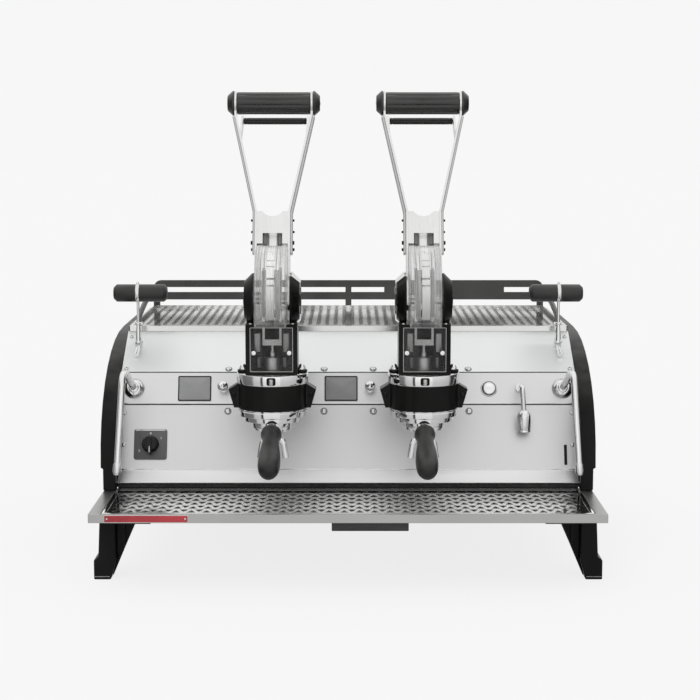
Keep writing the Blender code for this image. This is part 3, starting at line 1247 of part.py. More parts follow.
def build_portafilter(side_name, group, chrome, black):
    """The portafilter: its cup with lugs, twin spout and stem, and the swelling handle."""
    turn = make_empty(f"{side_name}_portafilter_turn", (0.0, 0.0, 0.0), parent=group)
    rim = SOCKET_CEILING - SEAT_GAP
    floor = PORTAFILTER_FOOT + BASKET_FLOOR
    cup = turned([
        (PORTAFILTER_RADIUS * 2 / 3, PORTAFILTER_FOOT - BASKET_FLOOR / 2),
        (PORTAFILTER_RADIUS, PORTAFILTER_FOOT + BASKET_FLOOR / 2),
        (PORTAFILTER_RADIUS, rim), (BASKET_RADIUS, rim), (BASKET_RADIUS, floor), (0.0, floor),
    ])
    lug_low = BELL_FOOT + SOCKET_LIP_HEIGHT + SEAT_GAP
    adds = []
    for side in (-1, 1):
        span = tuple(sorted((side * (BASKET_RADIUS + SHEET), side * (PORTAFILTER_RADIUS + LUG_PROUD))))
        adds.append(block(span, (-LUG_WIDTH / 2, LUG_WIDTH / 2), (lug_low, lug_low + LUG_HEIGHT)))
    tip = PORTAFILTER_FOOT - SPOUT_DROP
    shoulder = PORTAFILTER_FOOT - SPOUT_SHOULDER_DROP
    spread = SPOUT_HALF_SPREAD
    path = rounded([(-spread, 0.0, tip), (-spread * 4 / 5, 0.0, shoulder - SPOUT_BEND), (0.0, 0.0, shoulder),
                    (spread * 4 / 5, 0.0, shoulder - SPOUT_BEND), (spread, 0.0, tip)], SPOUT_BEND, 3)
    adds.append(tube(path, SPOUT_RADIUS))
    adds.append(rod(SPOUT_RADIUS * 5 / 4, shoulder - SPOUT_RADIUS, floor - SHEET, SMALL_STEPS))
    droop = Matrix.Rotation(math.pi / 2 + HANDLE_DROOP, 4, "X")
    start = Vector((0.0, -HANDLE_START, STEM_HEIGHT - STEM_END * math.sin(HANDLE_DROOP)))
    place = Matrix.Translation(start) @ droop
    bend = Vector((0.0, -STEM_REACH, STEM_HEIGHT))
    stem = [(0.0, -BASKET_RADIUS - SHEET, STEM_HEIGHT), bend, start - (start - bend).normalized() * SEAT_GAP]
    adds.append(tube(stem, STEM_RADIUS))
    piece(f"{side_name}_portafilter_body", cup, chrome, turn, adds=adds)
    profile = [(along * HANDLE_LENGTH, across * HANDLE_RADIUS) for along, across in HANDLE_SHARES]
    handle = turned([(radius, along) for along, radius in profile], MID_STEPS)
    piece(f"{side_name}_portafilter_handle", moved(handle, place), black, turn)


def build_boiler(steel):
    """The hollow steam boiler that lies across the body, with a port on top, on two saddles."""
    radius, length = MACHINE_DEPTH * BOILER_RADIUS_SHARE, BODY_WIDTH * BOILER_LENGTH_SHARE
    middle, y = BODY_WIDTH * BOILER_MIDDLE_SHARE, TRAY_FRONT + MACHINE_DEPTH * BOILER_BACK_SHARE
    foot = BASE_TOP + SEAT_GAP
    z = foot + radius + BOILER_FOOT_WIDTH / 2
    low, high = middle - length / 2, middle + length / 2
    shell = rod(radius, low, high, MID_STEPS, "x", (0.0, y, z))
    hollow = rod(radius - BOILER_WALL, low + BOILER_WALL, high - BOILER_WALL, MID_STEPS, "x", (0.0, y, z))
    port = rod(BOILER_PORT_RADIUS, z, z + radius + OVERRUN, SMALL_STEPS, place=(middle, y, 0.0))
    saddles = []
    for end in (-1, 1):
        x = middle + end * length / 3
        span = (x - BOILER_FOOT_WIDTH / 2, x + BOILER_FOOT_WIDTH / 2)
        saddles.append(block(span, (y - radius * 2 / 3, y + radius * 2 / 3), (foot, z - radius / 2)))
    piece("steam_boiler", shell, steel, adds=saddles, cuts=[hollow, port])


def build_group(side_name, side, materials):
    """One complete group at its own axis."""
    black, chrome, steel, smoky, clear, handle_black = materials
    group = make_empty(f"{side_name}_group_axis", (side * GROUP_HALF, GROUP_Y, 0.0))
    build_group_head(side_name, group, chrome, black)
    build_tower(side_name, group, black, smoky)
    build_cam_cover(side_name, group, clear)
    lever = make_empty(f"{side_name}_lever_pivot", (0.0, 0.0, PIVOT_HEIGHT), -LEVER_LEAN, group)
    build_cam(side_name, lever, steel)
    build_lever(side_name, lever, chrome, handle_black)
    build_piston(side_name, group, steel)
    build_spring(side_name, group, steel)
    build_portafilter(side_name, group, chrome, handle_black)


def main():
    clear_scene()
    black = make_material("black_paint", (0.008, 0.008, 0.007), 0.35)
    handle_black = make_material("grip_black", (0.045, 0.045, 0.043), 0.45)
    steel = make_material("brushed_steel", (0.62, 0.62, 0.61), 0.30, 1.0)
    bright_steel = make_material("bright_steel", (0.75, 0.75, 0.74), 0.15, 1.0)
    chrome = make_material("chrome", (0.80, 0.80, 0.80), 0.06, 1.0)
    dark_steel = make_material("dark_steel", (0.12, 0.12, 0.12), 0.5, 1.0)
    smoky = make_material("smoky_window", (0.25, 0.25, 0.25), 0.05, see_through=0.9)
    clear = make_material("clear_cover", (0.85, 0.85, 0.84), 0.05, see_through=0.95)
    screen_glass = make_material("screen_glass", (0.26, 0.26, 0.26), 0.15)

    build_base_frame(dark_steel)
    build_legs(black)
    build_side_frames(black)
    lower, control, upper = build_front_panels(steel, bright_steel)
    build_rear_panel(steel)
    build_drip_tray(steel, bright_steel)
    build_cup_shelf(bright_steel, black)
    build_controls(lower, control, chrome, black, screen_glass)
    build_steam(control, upper, chrome, handle_black)
    build_tap(control, chrome)
    build_boiler(steel)
    for side_name, side in (("left", -1), ("right", 1)):
        build_group(side_name, side, (black, chrome, steel, smoky, clear, handle_black))


main()
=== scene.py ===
"""Looks for a two-group lever espresso machine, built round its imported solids.

Metres, +Z up, the front of the machine faces -Y, and it stands on z = 0. The sections follow the order in
which the machine is put together: legs and frame first, then the insides, the skin, the controls, the
groups, the levers, and the tray last.
"""

import math

import bmesh
import bpy
import numpy as np
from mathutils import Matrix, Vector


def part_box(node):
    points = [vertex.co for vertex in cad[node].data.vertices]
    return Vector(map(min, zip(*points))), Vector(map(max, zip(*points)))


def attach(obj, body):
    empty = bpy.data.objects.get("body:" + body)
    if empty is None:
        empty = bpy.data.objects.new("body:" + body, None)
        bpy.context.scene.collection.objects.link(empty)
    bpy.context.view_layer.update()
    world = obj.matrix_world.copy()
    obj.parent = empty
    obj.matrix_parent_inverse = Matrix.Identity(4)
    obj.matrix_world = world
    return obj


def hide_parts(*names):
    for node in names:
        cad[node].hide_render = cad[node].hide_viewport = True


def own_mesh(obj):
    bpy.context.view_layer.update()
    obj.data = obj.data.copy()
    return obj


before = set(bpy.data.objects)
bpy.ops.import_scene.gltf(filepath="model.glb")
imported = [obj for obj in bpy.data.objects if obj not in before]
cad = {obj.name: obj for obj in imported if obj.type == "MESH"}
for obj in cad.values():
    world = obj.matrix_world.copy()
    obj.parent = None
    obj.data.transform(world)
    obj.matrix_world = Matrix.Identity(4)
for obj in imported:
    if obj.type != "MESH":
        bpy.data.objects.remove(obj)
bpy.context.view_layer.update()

# Camera.
# It stands 3 metres in front of the machine, a little above the levers' middle, and looks down by
# 7.4 degrees with a long lens, as the photograph does.
CAMERA_PLACE, LOOKS_DOWN = (0.0032, -3.0204, 0.765), 7.42
LENS, SENSOR_WIDTH = 86.9, 36.0
camera_data = bpy.data.cameras.new("camera")
camera_data.lens = LENS
camera_data.sensor_width = SENSOR_WIDTH
camera = bpy.data.objects.new("camera", camera_data)
camera.location = CAMERA_PLACE
camera.rotation_euler = (math.radians(90 - LOOKS_DOWN), 0, 0)
bpy.context.scene.collection.objects.link(camera)
bpy.context.scene.camera = camera
bpy.context.scene.view_settings.view_transform = "Standard"

# Floor, backdrop and lamps.
# A wide pale floor takes the shadow of the feet. The sky is a plain near-white for the camera, and for the
# metal a studio that is bright overhead and dimmer towards the horizon, with dark flags at the sides. The
# metal mirrors neither the floor nor the lamps.
PALE = 0.93
FLOOR_COLOUR, FLOOR_GLOW, FLOOR_REACH = 0.08, 0.824, 30
SUNS = (("key", 1.35, 40, 36, -28), ("fill", 0.55, 70, 52, 42))


def add(tree, kind, links=None, **settings):
    """One shader node. In links a number sets a socket and another node's socket is wired to it."""
    node = tree.nodes.new("ShaderNode" + kind)
    for name, value in settings.items():
        setattr(node, name, value)
    for name, value in (links or {}).items():
        if isinstance(value, bpy.types.NodeSocket):
            tree.links.new(value, node.inputs[name])
        else:
            node.inputs[name].default_value = value
    return node


def ramp(tree, factor, stops):
    """A colour ramp through grey or coloured stops, each a place and a value."""
    node = add(tree, "ValToRGB", {"Fac": factor})
    elements = node.color_ramp.elements
    while len(elements) < len(stops):
        elements.new(0.5)
    for element, (place, value) in zip(elements, stops):
        element.position = place
        element.color = (*value, 1) if isinstance(value, tuple) else (value, value, value, 1)
    return node.outputs["Color"]


def maths(tree, operation, first, second=0.0):
    """One sum on two values."""
    return add(tree, "Math", {0: first, 1: second}, operation=operation).outputs[0]


def blended(tree, share, first, second, kind="MIX"):
    """Two colours mixed by a share."""
    node = add(tree, "Mix", data_type="RGBA", blend_type=kind)
    for place, value in ((0, share), (6, first), (7, second)):
        if isinstance(value, bpy.types.NodeSocket):
            tree.links.new(value, node.inputs[place])
        else:
            node.inputs[place].default_value = (*value, 1) if isinstance(value, tuple) else value
    return node.outputs[2]


def spread(tree, value, low, high, to_low=0.0, to_high=1.0):
    """A value carried from one span to another, and held at the ends."""
    return add(tree, "MapRange", {"Value": value, "From Min": low, "From Max": high, "To Min": to_low,
                                  "To Max": to_high}).outputs[0]


def seen_directly(tree):
    """One where the camera looks, through clear pieces too, and nothing where metal mirrors."""
    path = add(tree, "LightPath").outputs
    return maths(tree, "MAXIMUM", path["Is Camera Ray"], path["Is Transmission Ray"])


world = bpy.data.worlds.new("studio")
bpy.context.scene.world = world
world.use_nodes = True
tree = world.node_tree
tree.nodes.clear()
place = add(tree, "TexCoord")
parts = add(tree, "SeparateXYZ", {"Vector": place.outputs["Generated"]})
height = spread(tree, parts.outputs["Z"], -1, 1)
sky = ramp(tree, height, [(0.0, 0.50), (0.44, 0.66), (0.55, 0.78), (0.70, 0.90), (0.80, 0.95), (0.92, 1.0)])
turn = maths(tree, "ARCTAN2", parts.outputs["X"], parts.outputs["Y"])
turn_share = spread(tree, turn, -math.pi, math.pi)
flags = ramp(tree, turn_share, [(0.0, 1.3), (0.078, 1.3), (0.086, 0.10), (0.100, 0.10), (0.108, 1.0),
                                (0.165, 0.9), (0.19, 0.30), (0.29, 0.22), (0.38, 0.8), (0.45, 1.0),
                                (0.58, 1.0), (0.62, 0.10), (0.73, 0.06), (0.76, 0.8), (0.86, 0.95),
                                (0.920, 1.0), (0.930, 1.3), (1.0, 1.3)])
low = ramp(tree, height, [(0.20, 0.0), (0.32, 1.0), (0.62, 1.0), (0.72, 0.0)])
flagged = blended(tree, low, (1.0, 1.0, 1.0), flags)
studio = blended(tree, 1.0, sky, flagged, "MULTIPLY")
plain = add(tree, "Background", {"Color": (PALE, PALE, PALE, 1), "Strength": 1.0})
lit = add(tree, "Background", {"Color": studio, "Strength": 1.0})
both = add(tree, "MixShader", {0: seen_directly(tree), 1: lit.outputs[0], 2: plain.outputs[0]})
add(tree, "OutputWorld", {"Surface": both.outputs[0]})

floor_mesh = bpy.data.meshes.new("floor")
corners = [(x * FLOOR_REACH, y * FLOOR_REACH, 0) for x, y in ((-1, -1), (1, -1), (1, 1), (-1, 1))]
floor_mesh.from_pydata(corners, [], [(0, 1, 2, 3)])
floor = bpy.data.objects.new("floor", floor_mesh)
bpy.context.scene.collection.objects.link(floor)
floor.visible_glossy = False
pale_floor = bpy.data.materials.new("pale_floor")
pale_floor.use_nodes = True
floor_mesh.materials.append(pale_floor)
tree = pale_floor.node_tree
shader = tree.nodes["Principled BSDF"]
shader.inputs["Base Color"].default_value = (FLOOR_COLOUR, FLOOR_COLOUR, FLOOR_COLOUR, 1)
shader.inputs["Roughness"].default_value = 0.9
shader.inputs["Specular IOR Level"].default_value = 0.0
shader.inputs["Emission Color"].default_value = (1, 1, 1, 1)
tree.links.new(maths(tree, "MULTIPLY", seen_directly(tree), FLOOR_GLOW), shader.inputs["Emission Strength"])

for name, power, wide, tilt, turn in SUNS:
    sun_data = bpy.data.lights.new(name, "SUN")
    sun_data.energy = power
    sun_data.angle = math.radians(wide)
    sun = bpy.data.objects.new(name, sun_data)
    sun.rotation_euler = (math.radians(tilt), 0, math.radians(turn))
    sun.visible_glossy = False
    bpy.context.scene.collection.objects.link(sun)

# Legs.
# Four cast iron legs, painted satin black, bolted under the base frame. Each has an upright post over a
# wider foot, a slanted web with a raised border, a gusset screw, and a rubber pad in a steel cup.
LEG_BORDER = ((0.3650, 0.1030), (0.4065, 0.0050))
FOOT_X, WEB_DEPTH = 0.4215, 0.020
FORWARD, ACROSS = (0, -1, 0), ((1, 0, 0), (0, 1, 0))
DUST_COLOUR = (0.42, 0.41, 0.39)


def group_of(name, inputs, outputs):
    """An empty node group with number inputs, each a name and its usual value, and named outputs."""
    tree = bpy.data.node_groups.new(name, "ShaderNodeTree")
    for label, value in inputs:
        socket = tree.interface.new_socket(label, in_out="INPUT", socket_type="NodeSocketFloat")
        socket.default_value = value
    for label in outputs:
        tree.interface.new_socket(label, in_out="OUTPUT", socket_type="NodeSocketFloat")
    start = tree.nodes.new("NodeGroupInput").outputs
    end = tree.nodes.new("NodeGroupOutput").inputs
    return tree, start, end


def noise(tree, scale, stretch=None, detail=3.0, shift=0.0):
    """Noise on the object's own coordinates, stretched along its axes where asked."""
    vector = add(tree, "TexCoord").outputs["Object"]
    if stretch or shift:
        mapping = add(tree, "Mapping", {"Vector": vector})
        mapping.inputs["Scale"].default_value = stretch or (1, 1, 1)
        mapping.inputs["Location"].default_value = (shift, shift, shift)
        vector = mapping.outputs[0]
    return add(tree, "TexNoise", {"Vector": vector, "Scale": scale, "Detail": detail}).outputs["Fac"]


# Bare edges: where the rounded normal leaves the true one, broken up by noise.
edge_wear, start, end = group_of("edge_wear", [("Width", 0.0015), ("Break", 120.0)], ["Mask"])
rounded = add(edge_wear, "Bevel", {"Radius": start["Width"]}, samples=4)
true = add(edge_wear, "NewGeometry")
meet = add(edge_wear, "VectorMath", {0: rounded.outputs[0], 1: true.outputs["Normal"]},
           operation="DOT_PRODUCT")
bend = spread(edge_wear, meet.outputs["Value"], 0.99, 0.80)
torn = spread(edge_wear, noise(edge_wear, start["Break"], detail=4.0), 0.42, 0.62)
edge_wear.links.new(maths(edge_wear, "MULTIPLY", bend, torn), end["Mask"])

# Dust: settles on faces that look up, in soft patches.
dust_lies, start, end = group_of("dust_lies", [("Amount", 0.3)], ["Mask"])
true = add(dust_lies, "NewGeometry")
up = add(dust_lies, "SeparateXYZ", {"Vector": true.outputs["Normal"]})
both = maths(dust_lies, "MULTIPLY", spread(dust_lies, up.outputs["Z"], 0.55, 0.98),
             spread(dust_lies, noise(dust_lies, 26.0), 0.3, 0.75))
dust_lies.links.new(maths(dust_lies, "MULTIPLY", both, start["Amount"]), end["Mask"])

# Handling: soft patches of finger grease and wiping, and the fine grain of a sprayed or cast skin.
handled, start, end = group_of("handled", [("Patch", 14.0), ("Grain", 900.0)], ["Patches", "Grain"])
handled.links.new(spread(handled, noise(handled, start["Patch"], (1, 1, 0.6)), 0.3, 0.7), end["Patches"])
handled.links.new(noise(handled, start["Grain"], detail=1.0), end["Grain"])


def use(tree, group, **values):
    """A group placed in a material with its own values."""
    node = tree.nodes.new("ShaderNodeGroup")
    node.node_tree = group
    for label, value in values.items():
        node.inputs[label].default_value = value
    return node.outputs


def begun(name, roughness, metallic=0.0):
    """A new material with its tree and shader."""
    material = bpy.data.materials.new(name)
    material.use_nodes = True
    shader = material.node_tree.nodes["Principled BSDF"]
    shader.inputs["Roughness"].default_value = roughness
    shader.inputs["Metallic"].default_value = metallic
    return material, material.node_tree, shader.inputs


def coated(name, colour, bare, roughness, grain=900.0, depth=0.00004, width=0.0015, wear=0.5, dust=0.10,
           coat=0.0, shine=0.5):
    """Paint or moulded plastic: a dark skin with fine grain, worn edges, wiped patches and a little dust."""
    material, tree, sockets = begun(name, roughness)
    edge = use(tree, edge_wear, Width=width)["Mask"]
    skin_marks = use(tree, handled, Grain=grain)
    dusty = use(tree, dust_lies, Amount=dust)["Mask"]
    lighter = tuple(min(value * 1.5 + 0.004, 1.0) for value in colour)
    base = blended(tree, skin_marks["Patches"], colour, lighter)
    base = blended(tree, maths(tree, "MULTIPLY", edge, wear), base, bare)
    base = blended(tree, dusty, base, DUST_COLOUR)
    tree.links.new(base, sockets["Base Color"])
    rough = spread(tree, skin_marks["Patches"], 0, 1, roughness - 0.05, roughness + 0.08)
    tree.links.new(maths(tree, "ADD", rough, maths(tree, "MULTIPLY", dusty, 0.4)), sockets["Roughness"])
    bump = add(tree, "Bump", {"Height": skin_marks["Grain"], "Strength": 0.5, "Distance": depth})
    tree.links.new(bump.outputs[0], sockets["Normal"])
    sockets["Coat Weight"].default_value = coat
    sockets["Coat Roughness"].default_value = 0.12
    sockets["Specular IOR Level"].default_value = shine
    return material


cast_paint = coated("cast_paint", (0.0040, 0.0040, 0.0038), (0.13, 0.13, 0.125), 0.30, 700.0, 0.00008,
                    coat=0.03, shine=0.10)
zinc = coated("zinc", (0.22, 0.22, 0.21), (0.4, 0.4, 0.4), 0.35, 900.0)
rubber = coated("rubber", (0.012, 0.012, 0.012), (0.05, 0.05, 0.05), 0.7, 1500.0, 0.00005, wear=0.3)


def finished(name, mesh, material, body="machine", node=""):
    """An object of this mesh with its material, riding on its body, in place of a node where one is named."""
    piece = bpy.data.objects.new(name, mesh)
    bpy.context.scene.collection.objects.link(piece)
    mesh.materials.clear()
    mesh.materials.append(material)
    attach(piece, body)
    if node:
        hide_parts(node)
    return piece


def painted(node, material):
    """Gives its material to a CAD node that is shown as it is."""
    cad[node].data.materials.clear()
    cad[node].data.materials.append(material)


def box_of(node):
    """The low and the high corner of a CAD node's box."""
    return np.array([list(corner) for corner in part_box(node)])


def tidied(mesh, sharp, flat=0.0):
    """Merges doubles, turns the faces outwards and marks the sharp edges."""
    work = bmesh.new()
    work.from_mesh(mesh)
    bmesh.ops.remove_doubles(work, verts=work.verts, dist=2e-6)
    bmesh.ops.dissolve_degenerate(work, edges=work.edges, dist=1e-7)
    if flat:
        bmesh.ops.dissolve_limit(work, angle_limit=flat, verts=work.verts, edges=work.edges)
    bmesh.ops.recalc_face_normals(work, faces=work.faces)
    work.to_mesh(mesh)
    work.free()
    mesh.shade_smooth()
    mesh.set_sharp_from_angle(angle=math.radians(sharp))
    return mesh


def skin(name, grids, material, body="machine", loop=False, sharp=35.0, node=""):
    """Closed shells over grids of points.

    A grid is rings by points, or copies by rings by points. The points of a ring are joined round it, and
    ring i to ring i + 1. The first and last rings are drawn together in their middle, or joined to each
    other where the shell is a loop.
    """
    points, faces, first = [], [], 0
    for grid in grids if isinstance(grids, list) else [grids]:
        grid = np.asarray(grid, float)
        grid = grid.reshape(-1, *grid.shape[-3:])
        if loop:
            grid = np.concatenate([grid, grid[:, :1]], 1)
        else:
            middles = grid[:, (0, -1)].mean(2, keepdims=True) + np.zeros_like(grid[:, (0, -1)])
            grid = np.concatenate([middles[:, :1], grid, middles[:, 1:]], 1)
        copies, rings, count, _ = grid.shape
        index = first + np.arange(copies * rings * count).reshape(copies, rings, count)
        after = np.roll(index, -1, 2)
        quads = np.stack([index[:, :-1], after[:, :-1], after[:, 1:], index[:, 1:]], -1)
        points.append(grid.reshape(-1, 3))
        faces.append(quads.reshape(-1, 4))
        first += copies * rings * count
    mesh = bpy.data.meshes.new(name)
    mesh.from_pydata(np.concatenate(points).tolist(), [], np.concatenate(faces).tolist())
    return finished(name, tidied(mesh, sharp), material, body, node)


def worked(node, name, material, body="machine", width=0.0010, steps=2):
    """The CAD node's own shape with its edges rounded over, in its place."""
    mesh = cad[node].data.copy()
    mesh.name = name
    piece = finished(name, tidied(mesh, 30.0, math.radians(0.4)), material, body)
    bevel = piece.modifiers.new("edges", "BEVEL")
    bevel.width = width
    bevel.segments = steps
    bevel.limit_method = "ANGLE"
    bevel.angle_limit = math.radians(32)
    bevel.harden_normals = True
    bevel.use_clamp_overlap = True
    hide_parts(node)
    return piece


def placed(points, origin, up=(0, 0, 1), across=(1, 0, 0)):
    """Points of a local frame in the machine's: z goes along up, x along across as squared to it."""
    up = np.asarray(up, float) / np.linalg.norm(up)
    across = np.asarray(across, float) - np.dot(across, up) * up
    across /= np.linalg.norm(across)
    return np.asarray(points) @ np.stack([across, np.cross(up, across), up]) + np.asarray(origin, float)


def turned(profile, steps=48):
    """Rings of a turned shape: (radius, height) pairs carried round the z axis."""
    profile = np.asarray(profile, float)
    turn = np.linspace(0, 2 * np.pi, steps, endpoint=False)
    radius, height = profile[:, :1], profile[:, 1:]
    return np.stack([radius * np.cos(turn), radius * np.sin(turn), height + 0 * turn], -1)


def rectangle(width, depth, corner=0.0, steps=5):
    """The outline of a rounded rectangle: a quarter circle at each corner, in order round the middle."""
    quarter = np.linspace(0, np.pi / 2, steps)
    turn = np.concatenate([quarter + k * np.pi / 2 for k in range(4)])
    signs = np.repeat([(1, 1), (-1, 1), (-1, -1), (1, -1)], steps, 0)
    middle = signs * (np.array([width, depth]) / 2 - corner)
    return middle + corner * np.stack([np.cos(turn), np.sin(turn)], -1)


def level(points, height):
    """Flat points as points in space, all at one height."""
    return np.column_stack([points, np.full(len(points), height)])


def slab(outline, low, high, edge=0.0):
    """Rings that carry an outline from low to high with its edges rounded over by edge."""
    outline = np.asarray(outline, float)
    size = np.abs(outline).max()
    curve = np.linspace(0, np.pi / 2, 4) if edge else np.array([np.pi / 2])
    shrink = 1 - edge * (1 - np.sin(curve)) / size
    rings = [(share, low + edge * (1 - math.cos(angle))) for share, angle in zip(shrink, curve)]
    rings += [(share, high - edge * (1 - math.cos(angle))) for share, angle in zip(shrink[::-1], curve[::-1])]
    return np.stack([level(outline * share, height) for share, height in rings])


def hexed(rings, first, last):
    """Draws some rings of a turned shape in to hexagons: r(t) = r cos 30 / cos((t mod 60) - 30)."""
    turn = np.arange(rings.shape[1]) * 2 * np.pi / rings.shape[1]
    rings[first:last, :, :2] *= (np.cos(np.pi / 6) / np.cos(turn % (np.pi / 3) - np.pi / 6))[None, :, None]
    return rings


def screws(places, up, radius=0.00475, height=0.0026, socket=0.0016, across=(1, 0, 0)):
    """Button-head screws with a hexagon socket: a low dome whose middle steps down to a six-sided floor."""
    profile = [(radius, -0.0006), (radius, 0.0), (radius * 0.93, height * 0.55),
               (radius * 0.72, height * 0.9), (radius * 0.45, height), (socket, height),
               (socket * 0.96, height * 0.3), (socket * 0.5, height * 0.25)]
    rings = hexed(turned(profile, 24), -3, None)
    return [placed(rings, place, up, across) for place in places]


for leg, side in (("front_left", -1), ("front_right", 1), ("rear_left", -1), ("rear_right", 1)):
    worked(f"{leg}_leg", f"{leg}_casting", cast_paint, width=0.0022, steps=3)
    box = box_of(f"{leg}_leg")
    face = box[0, 1] + WEB_DEPTH
    middle = np.array([side * FOOT_X, box[:, 1].mean(), 0.0])
    pad = slab(rectangle(0.0255, 0.060, 0.004), 0.0, 0.0046, 0.0008)
    skin(f"{leg}_pad", placed(pad, middle), rubber)
    cup = slab(rectangle(0.0296, 0.0646, 0.003), 0.0046, 0.0060, 0.0004)
    skin(f"{leg}_cup", placed(cup, middle), zinc)
    start, end = (np.array([side * x, face, z]) for x, z in LEG_BORDER)
    way = end - start
    length = np.linalg.norm(way)
    border = slab(rectangle(length, 0.0045, 0.001), -0.001, 0.0036, 0.001)
    along = placed(border, (start + end) / 2, FORWARD, way)
    rib = slab(rectangle(0.048, 0.0034, 0.001), -0.001, 0.0075, 0.0012)
    upright = placed(rib, (side * 0.3845, face, 0.0785), FORWARD, (0, 0, 1))
    skin(f"{leg}_ribs", [along, upright], cast_paint)
    skin(f"{leg}_gusset_screw", screws([(side * 0.3730, face, 0.0965)], FORWARD, 0.0042), cast_paint)

# Base frame.
# A welded steel frame under the body, with a floor plate laid in it, a beam for the group necks across it,
# and two arms forward that carry the tray. It is powder coated dark grey.
frame_coat = coated("frame_coat", (0.008, 0.008, 0.008), (0.20, 0.20, 0.19), 0.45, 500.0, 0.0001, dust=0.15,
                    shine=0.25)
for node in ("base_frame", "left_tray_arm", "right_tray_arm"):
    worked(node, f"{node}_welded", frame_coat, width=0.0012)
painted("base_floor", frame_coat)
arm_bolts = [(side * x, -0.2262, 0.1150) for side in (-1, 1) for x in (0.3480, 0.3900)]
skin("arm_bolts", screws(arm_bolts, FORWARD, 0.0042), frame_coat)

# Steam boiler.
# A copper boiler lying across the body on two saddles, its ends domed and its welds and ports plain.
# It shows only through the vents, so it keeps its solid's shape with four bands added.
BOILER_MIDDLE = np.array([-0.1500, 0.2496, 0.2503])
BOILER_RADIUS, BOILER_LENGTH = 0.0850, 0.3999
BAND_SHARES = (-0.40, -0.13, 0.13, 0.40)
WORN_STEEL = (0.85, 0.85, 0.84)


def metal(name, colour, roughness, patch=14.0, patchy=0.05, tint=0.90, lines=None, depth=0.00002, dust=0.0,
          streak=0.04, edge=0.0, coat=0.0):
    """Bare metal: wiped patches in its sheen and colour, and drawn lines along the way it was ground.

    lines is the scale of the noise along x, y and z; a small number draws long lines that way.
    """
    material, tree, sockets = begun(name, roughness, 1.0)
    marks = use(tree, handled, Patch=patch)
    darker = tuple(value * tint for value in colour)
    base = blended(tree, marks["Patches"], darker, colour)
    rough = spread(tree, marks["Patches"], 0, 1, roughness + patchy, roughness)
    if lines:
        drawn = noise(tree, 1.0, lines, detail=4.0)
        fine = spread(tree, drawn, 0.3, 0.7, 1 - streak * 2)
        shade = add(tree, "CombineColor", {"Red": fine, "Green": fine, "Blue": fine}).outputs[0]
        base = blended(tree, 1.0, base, shade, "MULTIPLY")
        rough = maths(tree, "ADD", rough, spread(tree, drawn, 0.3, 0.7, -streak, streak))
        bump = add(tree, "Bump", {"Height": drawn, "Strength": 0.4, "Distance": depth})
        tree.links.new(bump.outputs[0], sockets["Normal"])
    if edge:
        rubbed = use(tree, edge_wear, Width=0.0012)["Mask"]
        base = blended(tree, maths(tree, "MULTIPLY", rubbed, edge), base, WORN_STEEL)
    if dust:
        dusty = use(tree, dust_lies, Amount=dust)["Mask"]
        base = blended(tree, dusty, base, DUST_COLOUR)
        rough = maths(tree, "ADD", rough, maths(tree, "MULTIPLY", dusty, 0.4))
    tree.links.new(base, sockets["Base Color"])
    tree.links.new(rough, sockets["Roughness"])
    sockets["Coat Weight"].default_value = coat
    return material


boiler_copper = metal("boiler_copper", (0.72, 0.40, 0.27), 0.32, 9.0, 0.15, 0.62, (60, 900, 900), dust=0.3)
painted("steam_boiler", boiler_copper)
band = turned([(BOILER_RADIUS + out, along) for out, along in
               ((-0.002, -0.006), (0.0008, -0.006), (0.0016, -0.004), (0.0016, 0.004), (0.0008, 0.006),
                (-0.002, 0.006))], 64)
bands = [placed(band, BOILER_MIDDLE + (share * BOILER_LENGTH, 0, 0), *ACROSS)
         for share in BAND_SHARES]
skin("boiler_bands", bands, boiler_copper, loop=True)

# Side frames.
# Two cast side frames, painted like the legs, with a curved front edge that runs up into the flat top.
# Each is held by button screws along its rim.
SIDE_FACE, SIDE_SCREW_Z = 0.4262, 0.1700
SIDES = (("left", -1), ("right", 1))
for name, side in SIDES:
    worked(f"{name}_side_frame", f"{name}_side_casting", cast_paint, width=0.0020,
           steps=3)
    heads = [(side * SIDE_FACE, y, SIDE_SCREW_Z) for y in (0.02, 0.20, 0.36)]
    skin(f"{name}_side_screws", screws(heads, (side, 0, 0), 0.0048, across=(0, 1, 0)), cast_paint)

# Rear panel.
# One folded sheet of brushed stainless closes the back. It has two fields of pressed louvres, a cable boss
# with a blank cap, and button screws round its edge.
PANEL_BACK = 0.3846
LOUVRE_WIDTH, LOUVRE_HEIGHT, LOUVRE_DEPTH = 0.13, 0.008, 0.0045
LOUVRE_FOOT, LOUVRE_PITCH, LOUVRE_ROWS = 0.225, 0.014, 9
panel_steel = metal("panel_steel", (0.80, 0.80, 0.79), 0.30, 8.0, 0.05, 0.965, (5, 1400, 1400), 0.000005,
                    streak=0.015)
worked("rear_panel", "rear_sheet", panel_steel, width=0.0004)
screw_steel = metal("screw_steel", (0.78, 0.78, 0.77), 0.16, 60.0, 0.08, 0.85)
across = np.linspace(0, 1, 13)
swell = np.sin(np.pi * across) ** 0.6
lip = np.array([0.0, 0.5, 1.0, 0.92, 0.0])
rise = np.array([0.0, 0.6, 1.0, 0.9, 0.0])
louvres = []
for middle in (-0.21, 0.21):
    for row in range(LOUVRE_ROWS):
        low = LOUVRE_FOOT + row * LOUVRE_PITCH
        x = middle + (across - 0.5) * LOUVRE_WIDTH
        grid = np.empty((len(across), len(lip), 3))
        grid[..., 0] = x[:, None]
        grid[..., 1] = PANEL_BACK - 0.0004 + rise * LOUVRE_DEPTH * (0.04 + 0.96 * swell[:, None])
        grid[..., 2] = low + lip * LOUVRE_HEIGHT
        louvres.append(grid)
skin("rear_louvres", louvres, panel_steel, sharp=40)
edge_places = [(x, PANEL_BACK, z) for x in (-0.392, -0.196, 0.0, 0.196, 0.392) for z in (0.165, 0.385)]
skin("rear_screws", screws(edge_places, (0, 1, 0)), screw_steel)
